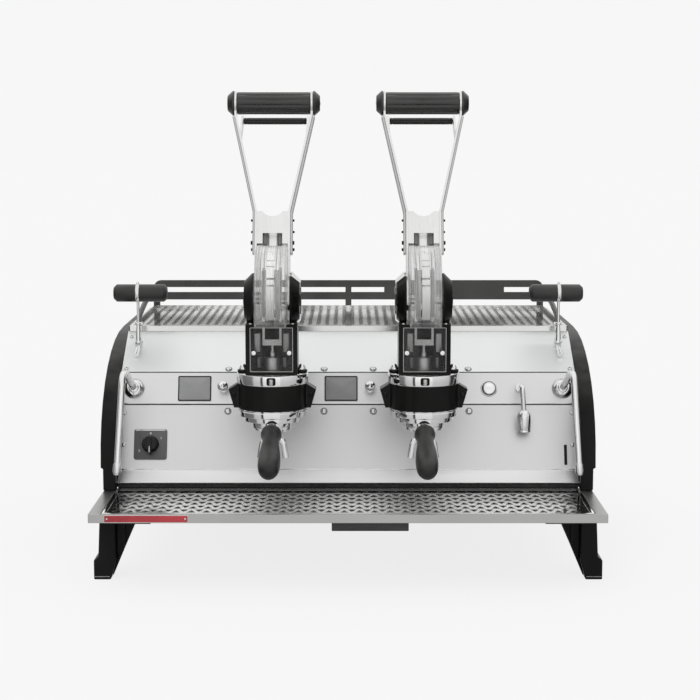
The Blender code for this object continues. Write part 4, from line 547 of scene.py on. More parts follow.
boss = turned([(0.017, 0.0), (0.017, 0.004), (0.0155, 0.0055), (0.009, 0.0055), (0.008, 0.0040),
               (0.002, 0.0040)])
skin("rear_blank_cap", placed(boss, (0.330, PANEL_BACK - 0.0002, 0.185), (0, 1, 0)), rubber)

# Front panels.
# Three folded sheets of one stainless: the skirt with the lower panel, the control panel, and the sloped
# upper panel. Their colours are lit and shaded copies: the upper panel is painted lighter as light, the
# control and lower panels darker as shade. The skirt is faced with a thin sheet painted lighter as light,
# with a polished strip along its fold as a painted highlight. Dark strips along the seams between the panels
# are painted shade, a polished strip above the control panel's seam is a painted highlight, and button screws
# on dark washers hold the panels along them.
FOLDS = {"foot": (-0.112356, 0.151252), "skirt": (-0.102356, 0.172252), "lower": (-0.062356, 0.281952),
         "control": (-0.042356, 0.336952), "upper": (0.061644, 0.398252)}


def facet(first, second):
    """A facet's own frame from its two folds: where it starts, the way up it, and the way out of it."""
    low, high = np.array([0.0, *FOLDS[first]]), np.array([0.0, *FOLDS[second]])
    up = (high - low) / np.linalg.norm(high - low)
    return low, up, np.cross((1.0, 0.0, 0.0), up)


def on_panel(panel, x, up, out=0.0):
    """A point x across, up the facet and out of it."""
    low, rise, away = panel
    return low + np.array([x, 0, 0]) + rise * up + away * out


def laid(points, panel, x, up, out=0.0):
    """Points laid on a panel round a place x across and up it, with their z going out of it."""
    return placed(points, on_panel(panel, x, up, out), panel[2])


def brushed(name, colour, roughness, patch):
    """Stainless sheet with long fine lines along x."""
    return metal(name, colour, roughness, patch, 0.03, 0.985, (4, 1500, 1500), 0.000003, streak=0.006)


SKIRT, LOWER = facet("foot", "skirt"), facet("skirt", "lower")
CONTROL, UPPER = facet("lower", "control"), facet("control", "upper")
# Painted light: one stainless in lit and shaded copies, the upper panel lighter, the control and lower panels
# darker.
upper_sheet_painted_lit = brushed("upper_sheet_painted_lit", (0.875, 0.895, 0.885), 0.50, 7.0)
control_sheet_painted_dim = brushed("control_sheet_painted_dim", (0.76, 0.76, 0.76), 0.36, 8.0)
lower_sheet_painted_dim = brushed("lower_sheet_painted_dim", (0.74, 0.74, 0.74), 0.42, 6.0)
for node, material, slot in (("lower_front_panel", lower_sheet_painted_dim, "brushed_steel"),
                             ("control_panel", control_sheet_painted_dim, "brushed_steel"),
                             ("upper_front_panel", upper_sheet_painted_lit, "bright_steel")):
    worked(node, f"{node}_sheet", material, width=0.00045)

panel_width = 2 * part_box("lower_front_panel")[1][0] - 0.0020
# The skirt's facing sheet is the same stainless painted lighter as light.
skirt_sheet_painted_lit = brushed("skirt_sheet_painted_lit", (0.86, 0.86, 0.86), 0.42, 6.0)
skirt_painted_lit_face = slab(rectangle(panel_width, 0.0224, 0.0006, 2), 0.0002, 0.0008, 0.0002)
skin("skirt_painted_lit_face", laid(skirt_painted_lit_face, SKIRT, 0, 0.0116), skirt_sheet_painted_lit)
# A thin polished strip along the skirt's fold stands in as a painted highlight.
fold = slab(rectangle(panel_width, 0.0016, 0.0004, 2), 0.0, 0.0010, 0.0003)
skin("skirt_fold_highlight", laid(fold, LOWER, 0, 0.0012), screw_steel)

UPPER_SCREWS_X, END_SCREW_X = (-0.2130, -0.0430, 0.0445, 0.2140), 0.3955
above = [on_panel(UPPER, x, 0.0095) for x in UPPER_SCREWS_X]
below = [on_panel(LOWER, x, 0.1050) for x in UPPER_SCREWS_X]
heads = screws(above, UPPER[2]) + screws(below, LOWER[2])
for panel, ups in ((LOWER, (0.1020, 0.0450)), (UPPER, (0.0105, 0.1040))):
    ends = [on_panel(panel, side * END_SCREW_X, up) for side in (-1, 1) for up in ups]
    heads += screws(ends, panel[2], 0.0040)
skin("panel_screws", heads, screw_steel)
washer = [(0.0046, -0.0008), (0.0064, -0.0008), (0.0064, 0.0003), (0.0060, 0.0006), (0.0046, 0.0006)]
rings = [placed(turned(washer, 28), point, panel[2]) for panel, points in ((UPPER, above), (LOWER, below))
         for point in points]
washer_steel = metal("washer_steel", (0.26, 0.26, 0.26), 0.30, 60.0, 0.08, 0.85)
skin("panel_washers", rings, washer_steel, loop=True)
# Dark strips along the seams are painted shade between the panels.
seam = slab(rectangle(panel_width, 0.0017, 0.0004, 2), 0.0, 0.0006, 0.0001)
seams = [laid(seam, CONTROL, 0, 0.0007), laid(seam * (1, 0.6, 1), UPPER, 0, 0.0006)]
skin("panel_seam_shade", seams, frame_coat)
# A polished strip just above the control panel's seam is a painted highlight.
lip = slab(rectangle(panel_width, 0.0012, 0.0004, 2), 0.0, 0.0008, 0.0003)
skin("panel_lip_highlight", laid(lip, CONTROL, 0, 0.0025), screw_steel)

# Vent slot shade.
# A thin black strip lies against the back of the lower panel, behind the vent slot in its right end, as
# painted shade for the dark inside.
painted_vent_shade = coated("painted_vent_shade", (0.010, 0.010, 0.010), (0.02, 0.02, 0.02), 0.9, 2200.0, 0.0002, wear=0.1)
strip = slab(rectangle(0.020, 0.060, 0.003), -0.0062, -0.0036, 0.0004)
skin("vent_slot_painted_shade", laid(strip, LOWER, 0.383, 0.027), painted_vent_shade)

# Cup shelf.
# A thin polished sheet with folded edges and round drain holes lies over the whole top. Cups stand on it to
# keep warm, and it mirrors the rail behind it.
HOLE_PITCH, ROW_PITCH, HOLE_RADIUS, HOLE_SIDES = 0.0158, 0.0120, 0.0044, 8
MARGIN_ENDS, MARGIN_FRONT, MARGIN_BACK = 0.030, 0.020, 0.022
SHEET, FOLDED, CELL_GAP = 0.0012, 0.0014, 4e-6


def pierced(centres, hole, cell, top, thickness):
    """One pierced cell round each centre: a flat band from the cell's edge in to the hole, then its wall.

    hole holds the directions t of the ring's points, the normals n of the cell's sides, and how far the hole
    reaches. The cell's edge is met at r(t) = the least of d / (n . t), where d is a side's distance, from
    cell. Rings: edge top, hole top, hole bottom, edge bottom, as a loop.
    """
    directions, normals, reach = hole
    cos, sin = np.cos(directions), np.sin(directions)
    toward = normals @ np.stack([cos, sin])
    far = np.where(toward > 1e-6, np.asarray(cell)[:, None] / np.maximum(toward, 1e-6), 9.0).min(0)
    edge = np.stack([cos, sin]) * far
    inner = np.stack([cos, sin]) * reach
    ring = np.stack([edge, inner, inner, edge])
    heights = np.array([top, top, top - thickness, top - thickness])
    grid = np.empty((len(centres), 4, len(directions), 3))
    grid[..., :2] = np.moveaxis(ring, 1, 2)[None] + np.asarray(centres)[:, None, None, :]
    grid[..., 2] = heights[None, :, None]
    return grid


SQUARE = np.array([(1, 0), (0, 1), (-1, 0), (0, -1)], float)
shelf_box = box_of("cup_shelf")
shelf_top = shelf_box[1, 2]
half_x, front, back = shelf_box[1, 0], shelf_box[0, 1], shelf_box[1, 1]
columns = int((2 * half_x - MARGIN_ENDS) / HOLE_PITCH)
rows = int((back - front - MARGIN_FRONT - MARGIN_BACK) / ROW_PITCH)
start_y = front + MARGIN_FRONT + ROW_PITCH / 2
hole_x = (np.arange(columns) - (columns - 1) / 2) * HOLE_PITCH
hole_y = start_y + np.arange(rows) * ROW_PITCH
grid_x, grid_y = np.meshgrid(hole_x, hole_y)
angles = np.arange(HOLE_SIDES) * 2 * np.pi / HOLE_SIDES + np.pi / HOLE_SIDES
corner = math.atan2(ROW_PITCH, HOLE_PITCH)
angles = np.sort(np.concatenate([angles, [corner, np.pi - corner, np.pi + corner, 2 * np.pi - corner]]))
shelf_cells = pierced(np.column_stack([grid_x.ravel(), grid_y.ravel()]),
                      (angles, SQUARE, HOLE_RADIUS),
                      [HOLE_PITCH / 2 - CELL_GAP, ROW_PITCH / 2 - CELL_GAP] * 2, shelf_top, SHEET)
field_x = columns * HOLE_PITCH / 2
field_y = (start_y - ROW_PITCH / 2, start_y + (rows - 0.5) * ROW_PITCH)


def strip_box(low, high, edge=0.0):
    """The rings of a plain bar between two corners, its upper and lower edges eased by edge."""
    low, high = np.asarray(low, float), np.asarray(high, float)
    middle, size = (low + high) / 2, high - low
    rings = slab(rectangle(size[0], size[1], min(size[0], size[1]) * 0.08, 2), low[2], high[2], edge)
    return rings + np.array([middle[0], middle[1], 0.0])


def surround(outer, field, low, high, edge=0.0):
    """Four strips between an outer rectangle and the field in it, each an x and y span (x0, y0, x1, y1)."""
    x0, y0, x1, y1 = outer
    in_x0, in_y0, in_x1, in_y1 = field
    spans = ((x0, y0, x1, in_y0), (x0, in_y1, x1, y1), (x0, in_y0, in_x0, in_y1), (in_x1, in_y0, x1, in_y1))
    return [strip_box((x0, y0, low), (x1, y1, high), edge) for x0, y0, x1, y1 in spans]


thin = shelf_top - SHEET
shelf_frame = surround((-half_x, front, half_x, back), (-field_x, field_y[0], field_x, field_y[1]), thin,
                       shelf_top)
for x0, y0, x1, y1 in ((-half_x, front, half_x, front + FOLDED), (-half_x, back - FOLDED, half_x, back),
                       (-half_x, front, FOLDED - half_x, back), (half_x - FOLDED, front, half_x, back)):
    shelf_frame.append(strip_box((x0, y0, shelf_box[0, 2]), (x1, y1, thin)))
shelf_steel = metal("shelf_steel", (0.84, 0.84, 0.83), 0.15, 10.0, 0.04, 0.93, (5, 1100, 1100), 0.000004,
                    0.03, streak=0.01)
skin("cup_shelf_field", shelf_cells, shelf_steel, loop=True, node="cup_shelf")
skin("cup_shelf_edges", shelf_frame, shelf_steel, node="cup_shelf")

# Cup rail.
# A black-painted steel rail with long slots stands on the back of the shelf, and its arms run forward along
# both ends. Small cap screws hold it down, and a bright strip runs along its foot.
rail_paint = coated("rail_paint", (0.042, 0.042, 0.041), (0.30, 0.30, 0.29), 0.33, 1200.0, 0.00003,
                    shine=0.30)
worked("cup_rail", "cup_rail_plate", rail_paint, width=0.0009)
caps = [(x, 0.3560, shelf_top) for x in (-0.30, -0.10, 0.10, 0.30)]
skin("rail_feet_screws", screws(caps, (0, 0, 1), 0.0042), screw_steel)
rail_box = box_of("cup_rail")
foot_strip = strip_box((rail_box[0, 0] + 0.004, 0.3634, shelf_top + 0.0003),
                       (rail_box[1, 0] - 0.004, 0.3651, shelf_top + 0.0068), 0.0005)
skin("rail_foot_strip", foot_strip, shelf_steel)

# Screens.
# Two small displays, each a grey glass pane set in a black moulded bezel with rounded corners. They are off,
# so the glass shows only its own grey with a faint sheen.
LINE_UP = 0.0291
SCREEN_X = (-0.27262, -0.01264)


def border(outer, inner, low, high, edge=0.0004):
    """A picture frame as a loop: outer wall, outer edge, top, inner edge, inner wall, and back below."""
    outer, inner = np.asarray(outer), np.asarray(inner)
    step = (outer - inner) / np.linalg.norm(outer - inner, axis=1, keepdims=True)
    rings = [(outer, low), (outer, high - edge), (outer - step * edge, high), (inner + step * edge, high),
             (inner, high - edge), (inner, low)]
    return np.stack([level(points, height) for points, height in rings])


bezel_plastic = coated("bezel_plastic", (0.006, 0.006, 0.006), (0.12, 0.12, 0.12), 0.40, 1800.0, 0.00003,
                       shine=0.2)
screen_pane, tree, sockets = begun("screen_pane", 0.16)
cloud = noise(tree, 22.0, (1, 1, 2.5))
shade = ramp(tree, cloud, [(0.25, (0.245, 0.250, 0.248)), (0.75, (0.285, 0.285, 0.280))])
tree.links.new(shade, sockets["Base Color"])
wiped = use(tree, handled, Patch=60.0, Grain=2600.0)
tree.links.new(spread(tree, wiped["Patches"], 0, 1, 0.12, 0.26), sockets["Roughness"])
sockets["Specular IOR Level"].default_value = 0.35
bezel = border(rectangle(0.0586, 0.0450, 0.0022, 6), rectangle(0.0546, 0.0410, 0.0012, 6), 0.0, 0.0026)
pane = slab(rectangle(0.0548, 0.0412, 0.0012, 6), 0.0002, 0.0019, 0.0002)
for name, x in zip(("left", "right"), SCREEN_X):
    skin(f"{name}_screen_bezel", laid(bezel, CONTROL, x, LINE_UP, 0.0003), bezel_plastic,
         loop=True, node=f"{name}_screen")
    skin(f"{name}_screen_glass", laid(pane, CONTROL, x, LINE_UP, 0.0003), screen_pane,
         node=f"{name}_screen")

# Ball knobs.
# Two chrome ball knobs on turned stems, each with a flange on the panel. A small socket in the front of the
# ball takes the key that holds it on its stem.
chrome = metal("chrome", (0.86, 0.86, 0.86), 0.035, 30.0, 0.05, 0.95)
polished = metal("polished", (0.82, 0.82, 0.81), 0.09, 18.0, 0.05, 0.92, (300, 300, 900), 0.000006,
                 streak=0.02)
soft_chrome = metal("soft_chrome", (0.84, 0.84, 0.84), 0.15, 20.0, 0.04, 0.95)
KNOB_BALL, KNOB_CENTRE, KNOB_X = 0.0095, 0.0218, (-0.221278, 0.038700)
sweep = np.radians(np.linspace(-62, 78, 16))
ball = [(KNOB_BALL * math.cos(t), KNOB_CENTRE + KNOB_BALL * math.sin(t)) for t in sweep]
knob_profile = [(0.0078, 0.0003), (0.0078, 0.0016), (0.0070, 0.0024), (0.0050, 0.0030), (0.0042, 0.0050),
                (0.0042, 0.0118), (0.0046, 0.0132), *ball, (0.0016, 0.0312), (0.0014, 0.0296),
                (0.0003, 0.0292)]
for name, x in zip(("left", "right"), KNOB_X):
    skin(f"{name}_ball_knob", laid(turned(knob_profile, 40), CONTROL, x, LINE_UP), chrome, f"{name}_dial",
         node=f"{name}_knob")

# Hot-water button.
# A chrome push button with a fluted rim and a dished top. It slides in a thin steel collar in the panel, and
# a spring behind the panel pushes it out again.
BUTTON_X = 0.250002
ridges = turned([(0.0106, -0.0095), (0.0114, -0.0090), (0.0114, 0.0030), (0.0108, 0.0044), (0.0098, 0.0053),
                 (0.0086, 0.0055), (0.0060, 0.0046), (0.0020, 0.0042)], 96)
wave = 1 + 0.022 * np.cos(np.arange(96) * 2 * np.pi / 4)
ridges[1:4, :, :2] *= wave[None, :, None]
skin("hot_water_push", laid(ridges, CONTROL, BUTTON_X, LINE_UP), chrome, "button",
     node="hot_water_button")
collar = turned([(0.0126, -0.0004), (0.0146, -0.0004), (0.0146, 0.0010), (0.0138, 0.0018), (0.0129, 0.0018),
                 (0.0126, 0.0012)], 56)
skin("hot_water_collar", laid(collar, CONTROL, BUTTON_X, LINE_UP), polished, loop=True)

# Rotary switch.
# A black plate on the lower panel with plain numbers, a polished strip along its top edge as a painted
# highlight, and a ribbed knob with a pointer that turns a quarter turn.
SWITCH_X, SWITCH_UP = -0.3485, 0.0455


def figures(name, text, size, panel, x, up, out, material, body="machine"):
    """A plain number as a thin mesh, laid on a panel about its own middle."""
    curve = bpy.data.curves.new(name, "FONT")
    curve.body, curve.size, curve.extrude = text, size, 0.00012
    curve.align_x, curve.align_y = "CENTER", "CENTER"
    holder = bpy.data.objects.new(name + "_line", curve)
    bpy.context.scene.collection.objects.link(holder)
    bpy.context.view_layer.update()
    made = bpy.data.meshes.new_from_object(holder.evaluated_get(bpy.context.evaluated_depsgraph_get()))
    bpy.data.objects.remove(holder)
    spots = np.empty(len(made.vertices) * 3)
    made.vertices.foreach_get("co", spots)
    spots = laid(spots.reshape(-1, 3), panel, x, up, out)
    made.vertices.foreach_set("co", spots.ravel())
    made.name = name
    return finished(name, tidied(made, 35), material, body)


plate_black = coated("plate_black", (0.062, 0.063, 0.062), (0.20, 0.20, 0.20), 0.40, 1500.0, 0.00003,
                     shine=0.4)
mark_white = coated("mark_white", (0.62, 0.62, 0.61), (0.4, 0.4, 0.4), 0.6, 2000.0, 0.00001, wear=0.2)
plate = slab(rectangle(0.058, 0.054, 0.004, 6), 0.0, 0.0028, 0.0006)
skin("switch_plate", laid(plate, LOWER, SWITCH_X, SWITCH_UP), plate_black)
# A polished strip along the plate's top edge is a painted highlight.
plate_edge_highlight = slab(rectangle(0.0520, 0.0016, 0.0004), 0.0, 0.0010, 0.0002)
skin("switch_plate_highlight", laid(plate_edge_highlight, LOWER, SWITCH_X, SWITCH_UP + 0.0252, 0.0020), polished)
for number, (x, up) in enumerate(((0.0, 0.0212), (0.0185, 0.0120), (-0.0195, -0.0130))):
    figures(f"switch_mark_{number}", str(number), 0.0062, LOWER, SWITCH_X + x, SWITCH_UP + up * 0.9, 0.0029,
            mark_white)
knob_black = coated("knob_black", (0.005, 0.005, 0.005), (0.12, 0.12, 0.12), 0.34, 1600.0, 0.00003,
                    shine=0.25)
dial = turned([(0.0060, 0.0003), (0.0060, 0.0033), (0.0150, 0.0033), (0.0150, 0.0050), (0.0146, 0.0060),
               (0.0122, 0.0148), (0.0110, 0.0153), (0.0030, 0.0153)], 72)
ribs = 1 - 0.035 * (np.cos(np.arange(72) * 2 * np.pi / 6) > 0.3)
dial[4:6, :, :2] *= ribs[None, :, None]
pointer = slab(rectangle(0.0058, 0.0300, 0.0026, 5), 0.0036, 0.0202, 0.0012) + np.array([0, -0.00375, 0])
line = slab(rectangle(0.0011, 0.0110, 0.0004), 0.0198, 0.0204, 0.0001) + np.array([0, -0.0120, 0])
skin("switch_knob", [laid(part, LOWER, SWITCH_X, SWITCH_UP) for part in (dial, pointer)], knob_black,
     "switch", node="rotary_knob")
skin("switch_knob_line", laid(line, LOWER, SWITCH_X, SWITCH_UP), mark_white, "switch")

# Steam levers.
# Each steam valve has an upright polished rod on a cross bolt between two ears, thickened into a tongue at
# its foot, with a black moulded grip lying across its top and a steel strap round the grip. A short bright
# inlet stub runs down the panel below it.
STEAM_X, STEAM_UP, STEAM_OUT = 0.380, 0.0773, 0.009
STEAM_GRIP_UP, STEAM_GRIP_HALF, STEAM_GRIP_RADIUS = 0.089, 0.048, 0.0158


def softened(points, radius, steps=6):
    """Straight runs whose corners are swapped for quadratic curves that start radius before them."""
    points = np.asarray(points, float)
    path = [points[:1]]
    share = np.linspace(0, 1, steps)[:, None]
    for before, corner, after in zip(points, points[1:], points[2:]):
        start = corner + (before - corner) / np.linalg.norm(before - corner) * radius
        end = corner + (after - corner) / np.linalg.norm(after - corner) * radius
        path.append((1 - share) ** 2 * start + 2 * share * (1 - share) * corner + share ** 2 * end)
    return np.concatenate([*path, points[-1:]])


def tube(path, radius, sides=20):
    """Rings round a path, each square to it and turned from the last without twist. radius may vary."""
    path = np.asarray(path, float)
    ways = np.gradient(path, axis=0)
    ways /= np.linalg.norm(ways, axis=1, keepdims=True)
    radius = np.broadcast_to(radius, len(path))
    side = np.cross(ways[0], (0.13, 0.29, 0.94))
    rings = []
    turn = np.linspace(0, 2 * np.pi, sides, endpoint=False)
    for place, way, reach in zip(path, ways, radius):
        side = side - way * np.dot(side, way)
        side /= np.linalg.norm(side)
        round_it = np.outer(np.cos(turn), side) + np.outer(np.sin(turn), np.cross(way, side))
        rings.append(place + reach * round_it)
    return np.stack(rings)


moulded = coated("moulded", (0.016, 0.016, 0.0155), (0.16, 0.16, 0.155), 0.34, 1300.0, 0.00005, wear=0.35,
                 shine=0.45)
for name, side in SIDES:
    body = f"{name}_steam_control"
    pivot = on_panel(UPPER, side * STEAM_X, STEAM_UP, STEAM_OUT)
    stick = turned([(0.0055, 0.0), (0.0052, 0.006), (0.0046, 0.018), (0.0036, 0.028), (0.0028, 0.033),
                    (0.0025, 0.036), (0.0025, 0.106), (0.0020, 0.1085), (0.0010, 0.1098)], 24)
    eye = placed(turned([(0.0046, -0.0029), (0.0055, -0.0022), (0.0055, 0.0022), (0.0046, 0.0029)], 24),
                 (0, 0, 0), *ACROSS)
    ring = turned([(0.0040, 0.0310), (0.0054, 0.0318), (0.0058, 0.0335), (0.0054, 0.0352), (0.0040, 0.0360)],
                  24)
    bolt = placed(turned([(0.0016, -0.0084), (0.0032, -0.0080), (0.0032, -0.0056), (0.0018, -0.0052),
                          (0.0018, 0.0052), (0.0032, 0.0056), (0.0032, 0.0080), (0.0016, 0.0084)], 18),
                  (0, 0, 0.0335), *ACROSS)
    skin(f"{name}_steam_rod", [part + pivot for part in (stick, eye, ring, bolt)], chrome, body,
         node=f"{name}_steam_lever")
    middle = pivot + np.array([-side * 0.005, 0, STEAM_GRIP_UP])
    half, radius = STEAM_GRIP_HALF, STEAM_GRIP_RADIUS
    outline = [(0.004, 0.0006 - half), (radius - 0.0064, -half), (radius - 0.0052, -half),
               (radius - 0.0008, 0.0046 - half), (radius, 0.0062 - half), (radius, half - 0.0062),
               (radius - 0.0008, half - 0.0046), (radius - 0.0052, half), (radius - 0.0064, half),
               (0.004, half - 0.0006)]
    skin(f"{name}_steam_handle", placed(turned(outline, 56), middle, *ACROSS), moulded, body,
         node=f"{name}_steam_grip")
    strap = turned([(0.0156, -0.0030), (0.0163, -0.0030), (0.0166, -0.0024), (0.0166, 0.0024),
                    (0.0163, 0.0030), (0.0156, 0.0030)], 56)
    skin(f"{name}_steam_strap", placed(strap, pivot + (0, 0, STEAM_GRIP_UP), *ACROSS), polished,
         body, loop=True)
    pins = screws([pivot + (s * 0.0060, 0, 0) for s in (-1, 1)], (1, 0, 0), 0.0034, 0.0018, across=(0, 1, 0))
    skin(f"{name}_steam_pins", pins, screw_steel)
    inlet = tube([on_panel(UPPER, side * x, up, 0.0050)
                  for x, up in ((0.3795, 0.0655), (0.3805, 0.0540), (0.3815, 0.0430))],
                 (0.0040, 0.0043, 0.0045), 24)
    skin(f"{name}_steam_inlet", inlet, soft_chrome)

# Steam wands.
# A stainless tube on a polished ball joint, held against the control panel by a round escutcheon. It rises
# forward, turns down over the tray and ends in a thicker tip.
WAND_KNEE, WAND_END, WAND_RADIUS = (0.0075, -0.090, 0.050), (0.0165, -0.125, -0.131), 0.0060
for name, side in SIDES:
    base = on_panel(CONTROL, side * STEAM_X, LINE_UP)
    cover = turned([(0.0183, 0.0003), (0.0183, 0.0022), (0.0178, 0.0030), (0.0166, 0.0062), (0.0140, 0.0092),
                    (0.0110, 0.0108), (0.0096, 0.0112), (0.0092, 0.0104), (0.0070, 0.0122), (0.0020, 0.0126)],
                   56)
    (knee_x, *knee), (end_x, *end) = WAND_KNEE, WAND_END
    path = softened([base + CONTROL[2] * 0.0055, base + (side * knee_x, *knee), base + (side * end_x, *end)],
                    0.034, 16)
    way = (path[-1] - path[-2]) / np.linalg.norm(path[-1] - path[-2])
    tip = path[-1] - way * np.array([[0.020], [0.0190], [0.006], [0.0]])
    path = np.concatenate([path[:-1], tip])
    radius = np.full(len(path), WAND_RADIUS)
    radius[-4:] = (WAND_RADIUS, 0.0073, 0.0073, 0.0050)
    skin(f"{name}_wand_tube", [placed(cover, base, CONTROL[2]), tube(path, radius, 24)], soft_chrome,
         f"{name}_wand", node=f"{name}_steam_wand")

# Hot-water tap.
# A hexagon nut on the panel, a bent chrome pipe and a bell nozzle that hangs over the tray. The pipe turns
# in its nut.
TAP = on_panel(CONTROL, 0.30487, LINE_UP)
nut = hexed(turned([(0.0080, 0.0003), (0.0085, 0.0010), (0.0085, 0.0068), (0.0078, 0.0078),
                    (0.0050, 0.0082)], 36), 1, 3)
pipe = tube(softened([TAP + CONTROL[2] * 0.004, TAP + (0, -0.040, 0.012), TAP + (0.004, -0.040, -0.038)],
                     0.012, 9), 0.0045)
bell = turned([(0.0046, 0.004), (0.0070, 0.002), (0.0096, -0.0006), (0.0117, -0.0044), (0.01235, -0.0080),
               (0.01235, -0.0290), (0.0119, -0.0300), (0.0119, -0.0316), (0.01235, -0.0326),
               (0.0121, -0.0340), (0.0106, -0.0338), (0.0103, -0.0300), (0.0103, -0.0130), (0.0020, -0.0124)],
              48)
bell = bell + TAP + np.array([0.004, -0.040, -0.036])
skin("hot_water_tap", [placed(nut, TAP, CONTROL[2]), pipe, bell], soft_chrome, "tap",
     node="hot_water_spout")

# Group heads.
# Each is one turned and polished brass casting, chromed: a thick flange on top with a rod sleeve, a black
# clamp band round its waist, and two stepped rings at the mouth that takes the portafilter. The sleeve has a
# ground steel skin, and a small nozzle stands in front of a black patch on the flange, painted shade for a
# notch.
PIVOT = 0.4830
GROUP_X, GROUP_Y, CYLINDER_ROOF = 0.127022, -0.205356, 0.3550
GROUPS = [(name, side, np.array([side * GROUP_X, GROUP_Y, 0.0])) for name, side in SIDES]
CLAMP_SCREW, ACORN_NUT, VENT = (0.0645, -0.0152, 0.3250), (0.0494, -0.0060, 0.3620), (0, -0.0600, 0.3530)
head_profile = [
    (0.0378, 0.2880), (0.0376, 0.2806), (0.0384, 0.2800), (0.0478, 0.2800), (0.0492, 0.2806),
    (0.0495, 0.2820), (0.0495, 0.2880), (0.0500, 0.2888), (0.0560, 0.2890), (0.0574, 0.2897),
    (0.0577, 0.2911), (0.0577, 0.2978), (0.0572, 0.2986), (0.0567, 0.2990), (0.0572, 0.2994),
    (0.0577, 0.3000), (0.0577, 0.3012), (0.0569, 0.3024), (0.0545, 0.3026), (0.0545, 0.3440),
    (0.0586, 0.3440), (0.0597, 0.3446), (0.0600, 0.3456), (0.0600, 0.3600), (0.0594, 0.3614),
    (0.0582, 0.3620), (0.0157, 0.3620), (0.0155, 0.3624), (0.0155, 0.3852), (0.0148, 0.3866),
    (0.0136, 0.3870), (0.0064, 0.3870), (0.0061, 0.3866), (0.0061, 0.3560), (0.0290, 0.3550),
    (0.0290, 0.2992), (0.0416, 0.2990), (0.0416, 0.2880)]
band_paint = coated("band_paint", (0.0035, 0.0035, 0.0033), (0.16, 0.16, 0.155), 0.28, 1100.0, 0.00004,
                    width=0.0012, shine=0.12)
head_chrome = metal("head_chrome", (0.84, 0.84, 0.84), 0.05, 24.0, 0.05, 0.93, (500, 500, 60), 0.000004,
                    streak=0.015)
sleeve_steel = metal("sleeve_steel", (0.95, 0.95, 0.94), 0.42, 40.0, 0.05, 0.92, (500, 500, 60), 0.000006,
                     streak=0.02)
nozzle_brass = metal("nozzle_brass", (0.60, 0.60, 0.58), 0.22, 60.0, 0.1, 0.8)
painted_recess_shade = coated("painted_recess_shade", (0.005, 0.005, 0.005), (0.05, 0.05, 0.05), 0.55, 1500.0, 0.00003,
                     shine=0.1)


def mirrored(axis, place):
    """A place beside a group's axis and its mirror image on the other side."""
    return [axis + (s * place[0], *place[1:]) for s in (-1, 1)]


acorn_foot = hexed(turned([(0.0058, 0.0042), (0.0066, 0.0047), (0.0066, 0.0080), (0.0060, 0.0086),
                           (0.0050, 0.0090)], 36), 1, 3)
acorn_cap = turned([(0.0052, 0.0086), (0.0050, 0.0106), (0.0042, 0.0124), (0.0028, 0.0136),
                    (0.0010, 0.0140)], 36)
for name, side, axis in GROUPS:
    skin(f"{name}_group_casting", turned(head_profile, 96) + axis, head_chrome, loop=True,
         sharp=28, node=f"{name}_group_head")
    worked(f"{name}_group_band", f"{name}_clamp_band", band_paint, width=0.0010, steps=3)
    skin(f"{name}_clamp_screws", screws(mirrored(axis, CLAMP_SCREW), FORWARD, 0.0034, 0.0018), band_paint)
    nuts, bases = [], []
    for s, at in zip((-1, 1), mirrored(axis, ACORN_NUT)):
        nuts += [acorn_foot + at, acorn_cap + at]
        lug = slab(rectangle(0.0190, 0.0180, 0.0078, 7), 0.0, 0.0046, 0.0012)
        bases.append(lug + at + (-s * 0.0004, 0.0, 0.0))
    skin(f"{name}_acorn_nuts", nuts, chrome)
    skin(f"{name}_nut_bases", bases, band_paint)
    sleeve = turned([(0.0150, 0.3622), (0.0160, 0.3624), (0.0160, 0.3856), (0.0152, 0.3870), (0.0136, 0.3874),
                     (0.0120, 0.3872)], 64)
    skin(f"{name}_rod_sleeve", sleeve + axis, sleeve_steel)
    # A thin black patch on the flange's face is painted shade for the notch behind the nozzle.
    notch = slab(rectangle(0.0150, 0.0130, 0.0030, 5), -0.0012, 0.0004, 0.0002)
    face = axis + VENT
    skin(f"{name}_vent_notch_painted_shade", placed(notch, face, FORWARD), painted_recess_shade)
    bead = turned([(0.0026, -0.0060), (0.0037, -0.0054), (0.0040, -0.0044), (0.0040, 0.0030),
                   (0.0034, 0.0042), (0.0020, 0.0046)], 28)
    skin(f"{name}_vent_bead", bead + face + (0, -0.0008, 0), nozzle_brass)

# Piston rods and springs.
# A ground steel rod rises through the sleeve to a stirrup with a roller, which rides on the cam. A collar
# sits on the rod, and a coil spring is wound round it inside the cylinder, where the rising piston squeezes
# it against the roof.
ground_steel = metal("ground_steel", (0.74, 0.74, 0.73), 0.16, 40.0, 0.06, 0.85, (700, 700, 90), 0.000008)
spring_steel = metal("spring_steel", (0.52, 0.53, 0.54), 0.30, 90.0, 0.1, 0.8)
for name, side, axis in GROUPS:
    worked(f"{name}_piston_rod", f"{name}_piston_stirrup", ground_steel, f"{name}_piston",
           width=0.0006)
    coil = cad[f"{name}_piston_spring"].data.copy()
    coil.name = f"{name}_spring_coil"
    spring = finished(f"{name}_spring_coil", tidied(coil, 50.0), spring_steel)
    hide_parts(f"{name}_piston_spring")
    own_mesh(spring)
    stop = turned([(0.0056, 0.3880), (0.0080, 0.3880), (0.0085, 0.3886), (0.0085, 0.3955), (0.0078, 0.3964),
                   (0.0062, 0.3966), (0.0060, 0.4000), (0.0055, 0.4002)], 40)
    skin(f"{name}_rod_collar", stop + axis, polished, f"{name}_piston", loop=True)

